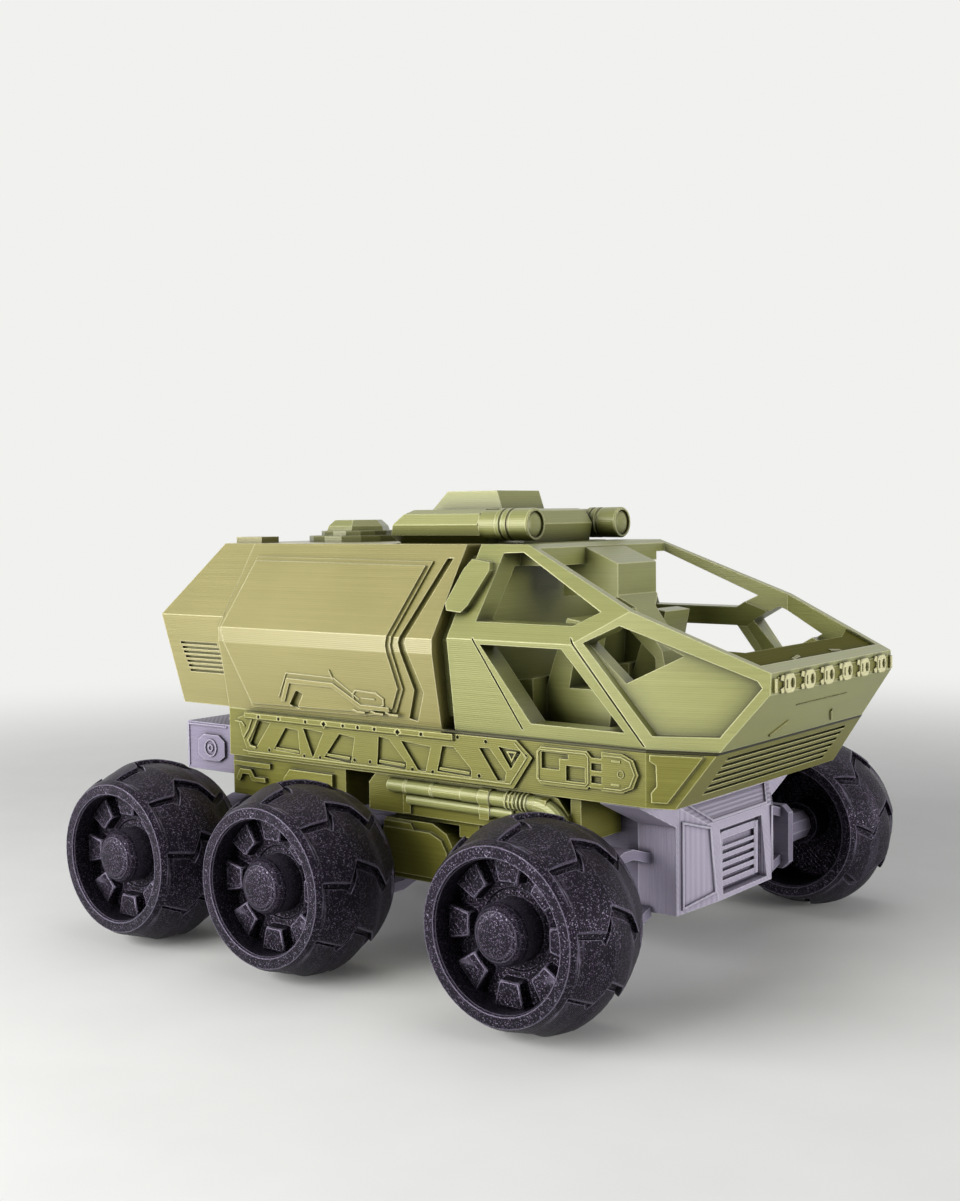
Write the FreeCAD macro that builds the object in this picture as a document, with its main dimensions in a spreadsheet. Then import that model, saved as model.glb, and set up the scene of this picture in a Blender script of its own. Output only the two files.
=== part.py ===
"""Six-wheeled lunar rover model: faceted cabin and habitat on a box chassis.

Millimetres. +X is forward, +Y is to the rover's left, +Z is up. The origin is on the
ground, under the middle of the rover. Right-hand pieces (-Y) are drawn and the left-hand
ones are mirrored from them.
"""
import FreeCAD, Part
import math
import os
import re

import Sketcher
from FreeCAD import Placement, Rotation, Vector

os.makedirs("parts", exist_ok=True)
doc = FreeCAD.newDocument("rover")

# --- driving dimensions: name, millimetres (or degrees, or a count), what it is ----------
SIZES = (
    ("outline_step", 1.0, "step of the tables of outlines"),
    # wheels
    ("wheel_radius", 24.8, "to the flats of the tread"),
    ("shoulder_radius", 23.2, "barrel at the ends of the crown"),
    ("crown_half", 8.0, "half width of the crown"),
    ("wheel_width", 28.7, "over both faces"),
    ("face_radius", 20.0, "outer edge of each face"),
    ("well_radius", 17.0, "recess in each face"),
    ("groove_depth", 1.0, "grooves between the tread plates"),
    ("groove_half", 0.55, "half width of a groove"),
    ("wheel_sides", 18, "flats around the wheel"),
    ("well_depth", 8.0, "from the outer face to the disc"),
    ("disc_thickness", 4.0, "disc between tyre and hub"),
    ("hub_radius", 7.2, "barrel hub"),
    ("hub_nose", 5.2, "flat end of the hub"),
    ("hub_chamfer", 2.2, "slope of the hub's end"),
    ("hub_back_radius", 6.0, "boss behind the disc"),
    ("hub_back", 9.0, "boss length behind the disc"),
    ("hub_sides", 10, "flats around the hub"),
    ("pad_count", 8, "pads around the well"),
    ("pad_inner", 11.0, "inner end of each pad"),
    ("pad_outer", 16.0, "outer end of each pad"),
    ("pad_height", 3.0, "pad above the disc"),
    ("front_axle_x", 56.8, "front axle"),
    ("middle_axle_x", -16.8, "middle axle"),
    ("rear_axle_x", -73.0, "rear axle"),
    ("track_half", 69.35, "middle of a wheel from the centre line"),
    # stub axles, knuckles and arms
    ("axle_radius", 2.5, "stub axle"),
    ("axle_sides", 12, "flats around a stub axle"),
    ("bore_clearance", 0.08, "radial, stub axle in hub"),
    ("axle_end_gap", 0.6, "stub axle to the bottom of its bore"),
    ("knuckle_out", 3.4, "outer face of the knuckle plate, outside the hull"),
    ("collar_radius", 4.4, "collar between the knuckle plate and the hub"),
    ("collar_gap", 0.8, "collar to the hub's back"),
    ("knuckle_plate", 2.6, "plate thickness"),
    ("knuckle_half", 6.0, "half length along the rover"),
    ("knuckle_rise", 8.6, "plate above the axle"),
    ("knuckle_drop", 9.4, "plate below the axle"),
    ("arm_width", 7.0, "along the rover"),
    ("arm_thickness", 2.6, "each suspension arm"),
    ("arm_spread", 6.6, "arm centre above or below the axle at the knuckle"),
    ("arm_bow", 2.4, "how far each arm bows away from the axle"),
    # chassis
    ("beam_half", 24.6, "half width of the chassis box"),
    ("beam_low", 20.0, "underside of the chassis box"),
    ("beam_rear_x", -79.9, "rear end of the chassis box"),
    ("bulkhead_back_x", 56.6, "back of the front bulkhead"),
    ("bulkhead_front_x", 67.5, "front of the front bulkhead"),
    ("bulkhead_half", 24.6, "half width of the front bulkhead"),
    ("bulkhead_low", 18.0, "underside of the front bulkhead"),
    ("gusset_drop", 8.4, "height of the corner gussets"),
    ("gusset_reach", 16.8, "how far each gusset reaches out"),
    ("gusset_edge", 0.9, "gusset at its tip"),
    ("prow_x", 73.2, "foot of the raised front panel"),
    ("prow_half", 15.6, "half width of the raised front panel"),
    ("rear_box_in", 5.0, "sides of the rear box, inside the hull's width"),
    ("rear_box_x", -92.9, "rear face of the rear box"),
    ("rear_box_low", 41.5, "underside of the rear box"),
    ("rear_box_top", 55.6, "top of the rear box"),
    # lower hull
    ("hull_half", 44.0, "half width of the lower hull"),
    ("hull_low", 48.2, "underside of the lower hull"),
    ("seam_z", 61.8, "joint between lower and upper bodies"),
    ("hull_rear_x", -68.9, "rear end of the lower hull"),
    ("bend_x", 70.9, "where the sides turn in to the nose"),
    ("nose_low_x", 77.5, "nose at the underside"),
    ("nose_seam_x", 87.2, "nose at the joint"),
    ("relief", 0.9, "raised shapes on the hull, above its sides"),
    # habitat
    ("roof_z", 108.6, "roof"),
    ("roof_half", 32.6, "half width of the roof"),
    ("crease_out", 3.6, "side crease of the habitat, outside the hull"),
    ("crease_z", 85.0, "upper edge of the upright band along each side"),
    ("band_z", 81.2, "lower edge of that band"),
    ("habitat_front_x", 10.1, "front frame"),
    ("tail_crease_out", 1.8, "crease of the tail, outside the hull"),
    ("tail_crease_z", 88.0, "height of the tail's crease"),
    ("tail_low_in", 1.6, "underside of the tail, inside the hull's width"),
    ("tail_roof_x", -81.4, "rear edge of the roof"),
    ("tail_crease_x", -95.3, "rearmost line of the body"),
    ("tail_low_x", -89.9, "rear edge of the tail's underside"),
    ("roof_block_in", 3.0, "low blocks on the tail's roof, inside its edge"),
    ("roof_block_width", 7.0, "each of those blocks"),
    ("roof_block_rise", 1.8, "those blocks above the roof"),
    ("panel_proud", 1.3, "side panel above the habitat"),
    ("panel_step", 0.6, "rim of the side panel above the habitat"),
    ("rib_proud", 0.5, "ribs above the side panel"),
    ("channel_depth", 1.1, "bent channel behind the front frame"),
    ("louvre_count", 7, "slots on each side of the tail"),
    ("louvre_pitch", 1.35, "from one slot to the next"),
    ("louvre_depth", 1.0, "each slot"),
    # cabin
    ("cabin_rear_x", 10.1, "rear wall of the cabin"),
    ("cabin_front_x", 14.2, "where the cabin's full section starts"),
    ("neck_depth", 3.0, "neck between habitat and cabin, inside the cabin's section"),
    ("cabin_crease_out", 2.6, "crease of the cabin, outside the hull"),
    ("cabin_crease_z", 85.4, "height of the cabin's crease"),
    ("cabin_low_in", 0.4, "cabin at the joint, inside the hull's width"),
    ("cabin_roof_in", 0.7, "cabin roof, inside the habitat's roof"),
    ("roof_front_x", 29.2, "front edge of the roof"),
    ("strip_x", 97.4, "face that carries the lamps"),
    ("strip_low", 75.1, "lower edge of that face"),
    ("strip_top", 80.0, "upper edge of that face"),
    ("cheek_slope", 0.305, "nose side, inward run for each unit forward"),
    ("cheek_lean", 0.393, "nose side, backward shift for each unit up"),
    ("cabin_wall", 6.0, "cabin sides and nose"),
    ("cabin_roof", 5.6, "cabin roof"),
    ("cabin_floor", 1.6, "cabin floor"),
    ("cabin_back", 2.0, "wall between cabin and habitat"),
    ("screen_depth", 7.0, "depth to which the windscreen is cut straight down"),
    ("recess", 2.2, "panel in the nose window, below the nose side"),
    ("seam_width", 0.5, "door seams"),
    ("rail_proud", 1.8, "grab rail above the cabin side"),
    ("lamp_count", 6, "lamps along the nose"),
    ("lamp_pitch", 10.3, "from one lamp to the next"),
    ("lamp_bar_half", 30.8, "half length of the bar behind the lamps"),
    ("lamp_bar_rise", 1.7, "half height of that bar"),
    ("lamp_proud", 0.9, "lamp above the strip"),
    ("hood_drop", 0.8, "hood below the beams around it"),
    ("hood_sheet", 1.6, "hood"),
    # cabin fittings
    ("column_half", 5.0, "half width of the column under the console"),
    ("console_half", 9.4, "half width of the overhead console"),
    ("console_drop", 14.2, "underside of the console below the roof"),
    # roof gear
    ("case_half", 9.8, "half width of the instrument case"),
    ("tube_radius", 4.3, "roof tubes"),
    ("tube_y", 20.8, "roof tube from the centre line"),
    ("tube_z", 113.6, "roof tube axis"),
    ("tube_rear_x", 7.4, "rear end of a roof tube"),
    ("tube_front_x", 23.6, "front end of a roof tube"),
    ("hatch_x", -57.9, "centre of the roof hatch"),
    ("tube_sides", 12, "flats around a roof tube"),
    ("case_top", 122.8, "top of the instrument case"),
    # side pods
    ("pod_proud", 0.6, "outer face of the side pods, outside the hull"),
    ("pipe_radius", 1.7, "pipes along the side pods"),
)
sheet = doc.addObject("Spreadsheet::Sheet", "sizes")
for row, (alias, value, note) in enumerate(SIZES, start=1):
    sheet.set(f"A{row}", note)
    sheet.set(f"B{row}", str(value))
    sheet.setAlias(f"B{row}", alias)
doc.recompute()


def size(alias):
    """The sheet's value for one name."""
    return float(sheet.get(alias))


# widths that follow the hull's and the roof's
FOLLOWING = {
    "crease_half": "(hull_half + crease_out)",
    "tail_crease_half": "(hull_half + tail_crease_out)",
    "tail_low_half": "(hull_half - tail_low_in)",
    "cabin_crease_half": "(hull_half + cabin_crease_out)",
    "cabin_low_half": "(hull_half - cabin_low_in)",
    "cabin_roof_half": "(roof_half - cabin_roof_in)",
    "rear_box_half": "(hull_half - rear_box_in)",
    "pod_half": "(hull_half + pod_proud)",
    "knuckle_half_y": "(hull_half + knuckle_out)",
}


def formula(text):
    """A formula over the sheet's names, in the form that an expression takes."""
    for name, meaning in FOLLOWING.items():
        text = re.sub(rf"\b{name}\b", meaning, text)
    return re.sub(r"\b(?!cos\b|deg\b)[A-Za-z_]\w*", r"sizes.\g<0>", text)


PLANES = {
    "plan": Rotation(),
    "side": Rotation(Vector(1, 0, 0), 90),
    "section": Rotation(Vector(1, 1, 1), 120),
}


def constrain(sketch, corners):
    """Close a polygon through the corners, each held to its pair of formulas."""
    count = len(corners)
    for i in range(count):
        turn = 2 * math.pi * i / count
        after = 2 * math.pi * (i + 1) / count
        start = Vector(50 * math.cos(turn), 50 * math.sin(turn), 0)
        end = Vector(50 * math.cos(after), 50 * math.sin(after), 0)
        sketch.addGeometry(Part.LineSegment(start, end), False)
    for i in range(count):
        sketch.addConstraint(Sketcher.Constraint("Coincident", i, 2, (i + 1) % count, 1))
    for i, pair in enumerate(corners):
        for kind, axis, text in (("DistanceX", -2, pair[0]), ("DistanceY", -1, pair[1])):
            if text == "0":
                sketch.addConstraint(Sketcher.Constraint("PointOnObject", i, 1, axis))
                continue
            number = sketch.addConstraint(Sketcher.Constraint(kind, -1, 1, i, 1, 10.0))
            sketch.setExpression(f"Constraints[{number}]", formula(text))


def outline(name, plane, corners, level=None):
    """A closed polygon in the plan, side or section plane."""
    sketch = doc.addObject("Sketcher::SketchObject", name)
    sketch.Placement = Placement(Vector(), PLANES[plane])
    constrain(sketch, corners)
    if level:
        axis = {"plan": "z", "side": "y", "section": "x"}[plane]
        sketch.setExpression(f".Placement.Base.{axis}", formula(level))
    return sketch


def prism(name, sketch, direction, ahead, behind="0"):
    """A sketch pushed along a direction, ahead of its plane and behind it."""
    solid = doc.addObject("Part::Extrusion", name)
    solid.Base = sketch
    solid.DirMode = "Custom"
    solid.Dir = direction
    solid.Solid = True
    solid.setExpression("LengthFwd", formula(ahead))
    if behind != "0":
        solid.setExpression("LengthRev", formula(behind))
    return solid


def plate(name, plane, corners, direction, start, end):
    """A polygon pushed along a direction, from one distance to another."""
    return prism(name, outline(f"{name}_outline", plane, corners), direction, end, f"-({start})")


def placed(corners, along="0", up="0"):
    """Corners from a table of numbers, measured from named lines."""
    return [(f"{along} + ({a}) * outline_step", f"{up} + ({b}) * outline_step")
            for a, b in corners]


def join(kind, name, solids):
    joined = doc.addObject(f"Part::{kind}", name)
    joined.Shapes = list(solids)
    return joined


def common(name, *solids):
    return join("MultiCommon", name, solids)


def fuse(name, *solids):
    return join("MultiFuse", name, solids)


def cut(name, base, tool):
    rest = doc.addObject("Part::Cut", name)
    rest.Base = base
    rest.Tool = tool
    return rest


def together(name, *solids):
    """Pieces kept side by side in one object."""
    compound = doc.addObject("Part::Compound", name)
    compound.Links = list(solids)
    return compound


def inset(name, sketch, text):
    """The sketch's outline moved inward by a formula, or outward if it is negative."""
    smaller = doc.addObject("Part::Offset2D", name)
    smaller.Source = sketch
    smaller.Join = "Intersection"
    smaller.setExpression("Value", "-(" + formula(text) + ")")
    return smaller


def mirror(name, source):
    other = doc.addObject("Part::Mirroring", name)
    other.Source = source
    other.Normal = Vector(0, 1, 0)
    return other


def both(name, right):
    """A right-hand shape together with its mirror image."""
    return together(name, right, mirror(f"{name}_mirrored", right))


def box(name, low, high):
    """A block between two corners, each given as three formulas."""
    block = doc.addObject("Part::Box", name)
    for side, start, end in zip(("Length", "Width", "Height"), low, high):
        block.setExpression(side, formula(f"({end}) - ({start})"))
    for axis, start in zip("xyz", low):
        block.setExpression(f".Placement.Base.{axis}", formula(start))
    return block


def cylinder(name, radius, length, base, direction):
    """A round bar from a base point (three formulas) along a direction."""
    bar = doc.addObject("Part::Cylinder", name)
    bar.setExpression("Radius", formula(radius))
    bar.setExpression("Height", formula(length))
    bar.Placement = Placement(Vector(), Rotation(Vector(0, 0, 1), direction))
    for axis, text in zip("xyz", base):
        bar.setExpression(f".Placement.Base.{axis}", formula(text))
    return bar


def flat_ring(name, sides, radius, base, turn):
    """A regular polygon at a base point (three formulas); the radius is to its flats."""
    polygon = doc.addObject("Part::RegularPolygon", name)
    polygon.setExpression("Polygon", formula(sides))
    polygon.setExpression("Circumradius", formula(f"({radius}) / cos(180 deg / {sides})"))
    polygon.Placement = Placement(Vector(), turn)
    for axis, text in zip("xyz", base):
        polygon.setExpression(f".Placement.Base.{axis}", formula(text))
    return polygon


NODES = []


def node(obj, name):
    """Name a finished piece and keep it for the parts folder."""
    obj.Label = name
    NODES.append(obj)
    return obj


def pair(right, name):
    """Keep a right-hand piece and its mirror image."""
    node(right, f"{name}_right")
    node(mirror(f"mirror_{name}", right), f"{name}_left")


ACROSS = Vector(0, 1, 0)
ALONG = Vector(1, 0, 0)
UP = Vector(0, 0, 1)
OUT = Vector(0, -1, 0)
SPAN = "2 * crease_half"


def flat_sided(name, sides, profile, plane, first, base=("0", "0", "0")):
    """Solid with flats about the Y axis (plan) or the Z axis (side): where the slabs between its
    opposite flats meet. The profile gives the radius to the flats, then the place on the axis."""
    axis = {"plan": ACROSS, "side": UP}[plane]
    corners = list(profile) + [(f"-({radius})", place) for radius, place in reversed(profile)]
    slabs = []
    for i in range(int(sides / 2)):
        turn = Rotation(axis, first + 360 * i / sides) * PLANES[plane]
        sketch = outline(f"{name}_profile_{i}", plane, corners)
        sketch.Placement = Placement(Vector(), turn)
        for letter, text in zip("xyz", base):
            sketch.setExpression(f".Placement.Base.{letter}", formula(text))
        slabs.append(prism(f"{name}_slab_{i}", sketch, turn.multVec(UP), SPAN, SPAN))
    return common(name, *slabs)


# --- lower hull: side profile and plan profile, the solid that both allow ----------------
NOSE_HALF = "(hull_half - (nose_seam_x - bend_x) * cheek_slope)"
NOSE_RUN = "((nose_seam_x - nose_low_x) / (seam_z - hull_low))"
hull_side = outline("hull_side", "side", (
    ("hull_rear_x", "hull_low"),
    ("nose_low_x", "hull_low"),
    ("nose_seam_x", "seam_z"),
    ("hull_rear_x", "seam_z"),
))
hull_plan = outline("hull_plan", "plan", (
    ("hull_rear_x", "-hull_half"),
    ("bend_x", "-hull_half"),
    ("nose_seam_x", f"-{NOSE_HALF}"),
    ("nose_seam_x", NOSE_HALF),
    ("bend_x", "hull_half"),
    ("hull_rear_x", "hull_half"),
))
hull = common(
    "hull",
    prism("hull_side_prism", hull_side, ACROSS, SPAN, SPAN),
    prism("hull_plan_prism", hull_plan, UP, "roof_z"),
)

# Shapes raised on the hull's sides: millimetres ahead of the rover's middle and above the
# hull's underside. First the girder, the plates and the nose panel, then what is cut away.
RAISED = {
    "girder": ((-64.6, 11.0), (-62.6, 5.6), (-60.4, 1.0), (33.4, 0.8), (39.2, 8.9), (34.4, 12.9),
               (-60.0, 12.7)),
    "box_plate": ((41.7, 2.8), (55.1, 2.8), (56.4, 4.1), (56.4, 10.7), (55.1, 12.0), (41.7, 12.0),
                  (40.4, 10.7), (40.4, 4.1)),
    "round_plate": ((59.3, 3.0), (65.0, 3.0), (68.0, 4.3), (69.4, 7.6), (68.0, 10.9), (65.0, 12.2),
                    (59.3, 12.2)),
    "low_knob": ((56.0, 3.3), (59.6, 3.3), (59.6, 4.6), (56.0, 4.6)),
    "middle_knob": ((56.0, 6.3), (59.6, 6.3), (59.6, 7.6), (56.0, 7.6)),
    "high_knob": ((56.0, 9.3), (59.6, 9.3), (59.6, 10.6), (56.0, 10.6)),
    "nose_panel": ((72.2, 12.6), (72.2, 11.1), (73.6, 10.2), (73.8, 5.4), (72.5, 3.8), (72.6, 1.5),
                   (76.2, 1.5), (84.2, 12.6)),
}
SUNK = {
    "girder_1": ((-55.9, 10.8), (-51.5, 10.4), (-57.6, 2.6), (-59.8, 3.6)),
    "girder_2": ((-45.4, 9.6), (-40.6, 9.2), (-39.9, 2.7), (-50.1, 3.2)),
    "girder_3": ((-38.6, 10.0), (-31.0, 9.4), (-35.0, 2.2)),
    "girder_4": ((-25.0, 9.5), (-19.4, 9.0), (-20.8, 2.0), (-30.6, 2.8)),
    "girder_5": ((-10.8, 10.0), (-7.2, 9.6), (-1.4, 4.0), (-1.4, 2.2), (-11.4, 2.6)),
    "girder_6": ((-3.0, 9.6), (7.0, 8.8), (5.3, 2.4), (2.8, 2.4)),
    "girder_7": ((10.9, 9.4), (14.6, 9.4), (20.2, 4.4), (20.2, 2.4), (9.2, 2.8)),
    "girder_8": ((22.8, 10.0), (26.0, 10.2), (31.2, 4.6), (30.8, 2.5), (28.6, 2.3)),
    "girder_9": ((28.9, 10.8), (36.0, 10.2), (32.7, 5.6)),
    "box_plate_1": ((42.0, 6.8), (47.2, 6.8), (47.2, 9.6), (49.8, 9.6), (49.8, 10.8), (42.0, 10.8)),
    "box_plate_2": ((49.2, 4.4), (54.6, 4.4), (54.6, 8.0), (49.2, 8.0)),
}
raised = fuse("raised_shapes", *(
    plate(f"raised_{name}", "side", placed(rows, up="hull_low"), OUT, "beam_half", SPAN)
    for name, rows in RAISED.items()))
sunk = together("sunk_shapes", *(
    plate(f"sunk_{name}", "side", placed(rows, up="hull_low"), OUT, "0.5 * beam_half", SPAN)
    for name, rows in SUNK.items()))
relief = common(
    "relief",
    cut("relief_sides", raised, sunk),
    prism("relief_prism", inset("relief_plan", hull_plan, "-relief"), UP, "seam_z"),
)
pipe = box("girder_pipe", ("-61", "-hull_half - 1.5 * relief", "hull_low + 11.3"),
           ("15", "-beam_half", "hull_low + 12.9"))

# grille slots across the nose slope: height of each above the hull's underside
slots = []
for i, rise in enumerate((2.2, 3.9, 5.6, 7.3, 9.0, 10.7)):
    slots.append(plate(f"grille_slot_{i}", "side", (
        (f"nose_low_x + {rise} * {NOSE_RUN} - 0.9", f"hull_low + {rise}"),
        (f"nose_seam_x + {rise}", f"hull_low + {rise}"),
        (f"nose_seam_x + {rise}", f"hull_low + {rise + 0.8}"),
        (f"nose_low_x + {rise + 0.8} * {NOSE_RUN} - 0.9", f"hull_low + {rise + 0.8}"),
    ), ACROSS, f"-{NOSE_HALF} + 7", f"{NOSE_HALF} - 7"))
relieved = fuse("hull_relieved", hull, both("relief_both", relief), both("pipe_both", pipe))
node(cut("hull_grilled", relieved, together("grille_slots", *slots)), "lower_hull")

# --- habitat: section with an upright band, cut off by its front frame and its tail ------
habitat_section = outline("habitat_section", "section", (
    ("-hull_half", "seam_z"),
    ("hull_half", "seam_z"),
    ("crease_half", "band_z"),
    ("crease_half", "crease_z"),
    ("roof_half", "roof_z"),
    ("-roof_half", "roof_z"),
    ("-crease_half", "crease_z"),
    ("-crease_half", "band_z"),
))
habitat = prism("habitat_blank", habitat_section, ALONG, "habitat_front_x", "-hull_rear_x")


def skin(name, section, depth, solids, first="-hull_rear_x", last="habitat_front_x"):
    """What the solids share with the outer skin of a section, to a depth."""
    core = prism(f"{name}_core", inset(f"{name}_inset", section, depth), ALONG, last, first)
    return cut(name, together(f"{name}_solids", *solids), core)


# bent channel behind the front frame: ahead of the rover's middle, above the joint
CHANNEL = ((5.4, 43.2), (-1.2, 21.8), (2.6, 9.6), (-0.4, 2.0), (2.4, 1.4), (5.6, 9.2), (1.0, 21.8),
           (7.4, 43.2))
channel = skin("channel", habitat_section, "channel_depth", (
    plate("channel_run", "side", placed(CHANNEL, up="seam_z"), OUT, "0.5 * roof_half", SPAN),))
node(cut("habitat_cut", habitat, both("channel_both", channel)), "habitat")

tail_section = outline("tail_section", "section", (
    ("-tail_low_half", "seam_z"),
    ("tail_low_half", "seam_z"),
    ("tail_crease_half", "tail_crease_z"),
    ("roof_half", "roof_z"),
    ("-roof_half", "roof_z"),
    ("-tail_crease_half", "tail_crease_z"),
))
tail_side = outline("tail_side", "side", (
    ("tail_low_x", "seam_z"),
    ("hull_rear_x", "seam_z"),
    ("hull_rear_x", "roof_z"),
    ("tail_roof_x", "roof_z"),
    ("tail_crease_x", "tail_crease_z"),
))
tail = common(
    "tail",
    prism("tail_section_prism", tail_section, ALONG, "hull_rear_x", "-2 * tail_crease_x"),
    prism("tail_side_prism", tail_side, ACROSS, SPAN, SPAN),
)
rows = []
for i in range(int(size("louvre_count"))):
    low = f"tail_crease_z - 8.6 - {i} * louvre_pitch"
    rear = f"tail_crease_x + 6.9 + {i} * 0.35 * louvre_pitch"
    rows.append(plate(f"louvre_{i}", "side", (
        (rear, low),
        (f"{rear} + 15.8", low),
        (f"{rear} + 15.8", f"{low} + 0.7"),
        (rear, f"{low} + 0.7"),
    ), OUT, "0.5 * roof_half", SPAN))
louvres = skin("louvres", tail_section, "louvre_depth", rows, "-2 * tail_crease_x", "-hull_half")
roof_block = box("roof_block", ("tail_roof_x + 0.5 * roof_block_in", "-roof_half + roof_block_in",
                                "roof_z - roof_block_rise"),
                 ("hull_rear_x - 0.4", "-roof_half + roof_block_in + roof_block_width",
                  "roof_z + roof_block_rise"))
node(cut("tail_cut", fuse("tail_blocks", tail, both("roof_blocks", roof_block)),
         both("louvres_both", louvres)), "habitat_tail")

# --- side panels: the section grown outward, within the panel's outline -------------------
# Ahead of the rover's middle and above the joint: the panel, its rib and its slot.
PANEL = ((-64.8, 43.2), (-67.6, 22.6), (-66.6, 19.6), (-58.4, 1.0), (-15.5, 1.6), (-4.2, 3.2),
         (-0.8, 9.7), (-3.4, 21.2), (1.4, 42.4))
RIB = ((-45.4, 3.6), (-41.8, 10.4), (-24.6, 10.0), (-15.4, 4.8), (-5.6, 4.6), (-5.6, 3.5),
       (-15.8, 3.6), (-25.0, 8.7), (-41.0, 9.0), (-43.9, 3.6))
SLOT = ((-39.4, 7.0), (-36.9, 6.2), (-39.9, 1.9), (-42.6, 2.9))
panel_outline = outline("panel_outline", "side", placed(PANEL, up="seam_z"))


def grown(name, proud, shape):
    """A prism of a side shape, as far as the habitat's section grown by a formula."""
    return common(name, shape, prism(f"{name}_grown", inset(f"{name}_inset", habitat_section,
                                                           f"-({proud})"),
                                     ALONG, "habitat_front_x", "-hull_rear_x"))


panel_rim = grown("panel_rim", "panel_step", prism("panel_rim_prism", panel_outline, OUT, SPAN))
panel_top = grown("panel_top", "panel_proud",
                  prism("panel_top_prism", inset("panel_inner", panel_outline, "1.1"), OUT, SPAN))
panel_rib = grown("panel_rib", "panel_proud + rib_proud",
                  plate("rib", "side", placed(RIB, up="seam_z"), OUT, "0", SPAN))
panel_slot = plate("panel_slot", "side", placed(SLOT, up="seam_z"), OUT, "0", SPAN)
panel = cut("panel_cut", fuse("panel_layers", panel_rim, panel_top, panel_rib), panel_slot)
pair(cut("panel", panel, habitat), "side_panel")

# --- cabin: side, section and nose profiles; neck behind, hollow within ---------------------
SLOPE = "((roof_z - strip_top) / (strip_x - roof_front_x))"
cabin_side = outline("cabin_side", "side", (
    ("cabin_front_x", "seam_z"),
    ("nose_seam_x", "seam_z"),
    ("strip_x", "strip_low"),
    ("strip_x", "strip_top"),
    ("roof_front_x", "roof_z"),
    ("cabin_front_x", "roof_z"),
))
cabin_section = outline("cabin_section", "section", (
    ("-cabin_low_half", "seam_z"),
    ("cabin_low_half", "seam_z"),
    ("cabin_crease_half", "cabin_crease_z"),
    ("cabin_roof_half", "roof_z"),
    ("-cabin_roof_half", "roof_z"),
    ("-cabin_crease_half", "cabin_crease_z"),
))
WIDE = "(2 * cabin_low_half)"
NARROW = "(0.5 * cabin_low_half)"
wide_x = f"bend_x + (cabin_low_half - {WIDE}) / cheek_slope"
narrow_x = f"bend_x + (cabin_low_half - {NARROW}) / cheek_slope"
cabin_plan = outline("cabin_plan", "plan", (
    ("-bend_x", f"-{WIDE}"),
    (wide_x, f"-{WIDE}"),
    (narrow_x, f"-{NARROW}"),
    (narrow_x, NARROW),
    (wide_x, WIDE),
    ("-bend_x", WIDE),
), level="seam_z")
lean = Vector(-size("cheek_lean"), 0, 1)
cabin_block = common(
    "cabin_block",
    prism("cabin_side_prism", cabin_side, ACROSS, SPAN, SPAN),
    prism("cabin_section_prism", cabin_section, ALONG, "2 * strip_x"),
    prism("cabin_plan_prism", cabin_plan, lean, "roof_z"),
)
neck = prism("neck", inset("neck_section", cabin_section, "neck_depth"), ALONG,
             "cabin_front_x + 0.5 * cabin_wall", "-cabin_rear_x")
rail = common(
    "rail",
    plate("rail_run", "side", placed(((14.6, 43.2), (13.0, 40.6), (11.2, 32.2), (12.4, 30.4),
                                      (17.2, 30.0), (18.6, 31.8), (21.4, 40.4), (20.6, 42.4)),
                                     up="seam_z"), OUT, "0.5 * roof_half", SPAN),
    prism("rail_grown", inset("rail_section", cabin_section, "-rail_proud"), ALONG, "strip_x"),
)
inner_side = outline("inner_side", "side", (
    ("cabin_rear_x + cabin_back", "seam_z + cabin_floor"),
    ("nose_seam_x - cabin_wall", "seam_z + cabin_floor"),
    ("strip_x - cabin_wall", "strip_low"),
    ("strip_x - cabin_wall", f"strip_top + cabin_wall * {SLOPE} - hood_drop - hood_sheet"),
    (f"roof_front_x + (cabin_roof - hood_drop - hood_sheet) / {SLOPE}", "roof_z - cabin_roof"),
    ("cabin_rear_x + cabin_back", "roof_z - cabin_roof"),
))
# the hollow's section reaches past the floor and the roof, which have thicknesses of their own
DEEPER = "(cabin_wall - cabin_floor)"
LEAN_IN = "((cabin_crease_half - cabin_low_half) / (cabin_crease_z - seam_z))"
ROOF_IN = "((cabin_crease_half - cabin_roof_half) / (roof_z - cabin_crease_z))"
hollow_section = outline("hollow_section", "section", (
    (f"-cabin_low_half + {LEAN_IN} * {DEEPER}", f"seam_z - {DEEPER}"),
    (f"cabin_low_half - {LEAN_IN} * {DEEPER}", f"seam_z - {DEEPER}"),
    ("cabin_crease_half", "cabin_crease_z"),
    (f"cabin_roof_half - {ROOF_IN} * cabin_wall", "roof_z + cabin_wall"),
    (f"-cabin_roof_half + {ROOF_IN} * cabin_wall", "roof_z + cabin_wall"),
    ("-cabin_crease_half", "cabin_crease_z"),
))
cabin_inner = common(
    "cabin_inner",
    prism("inner_side_prism", inner_side, ACROSS, SPAN, SPAN),
    prism("inner_section_prism", inset("inner_section", hollow_section, "cabin_wall"), ALONG,
          "2 * strip_x"),
    prism("inner_plan_prism", inset("inner_plan", cabin_plan, "cabin_wall"), lean, "roof_z"),
)

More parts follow.
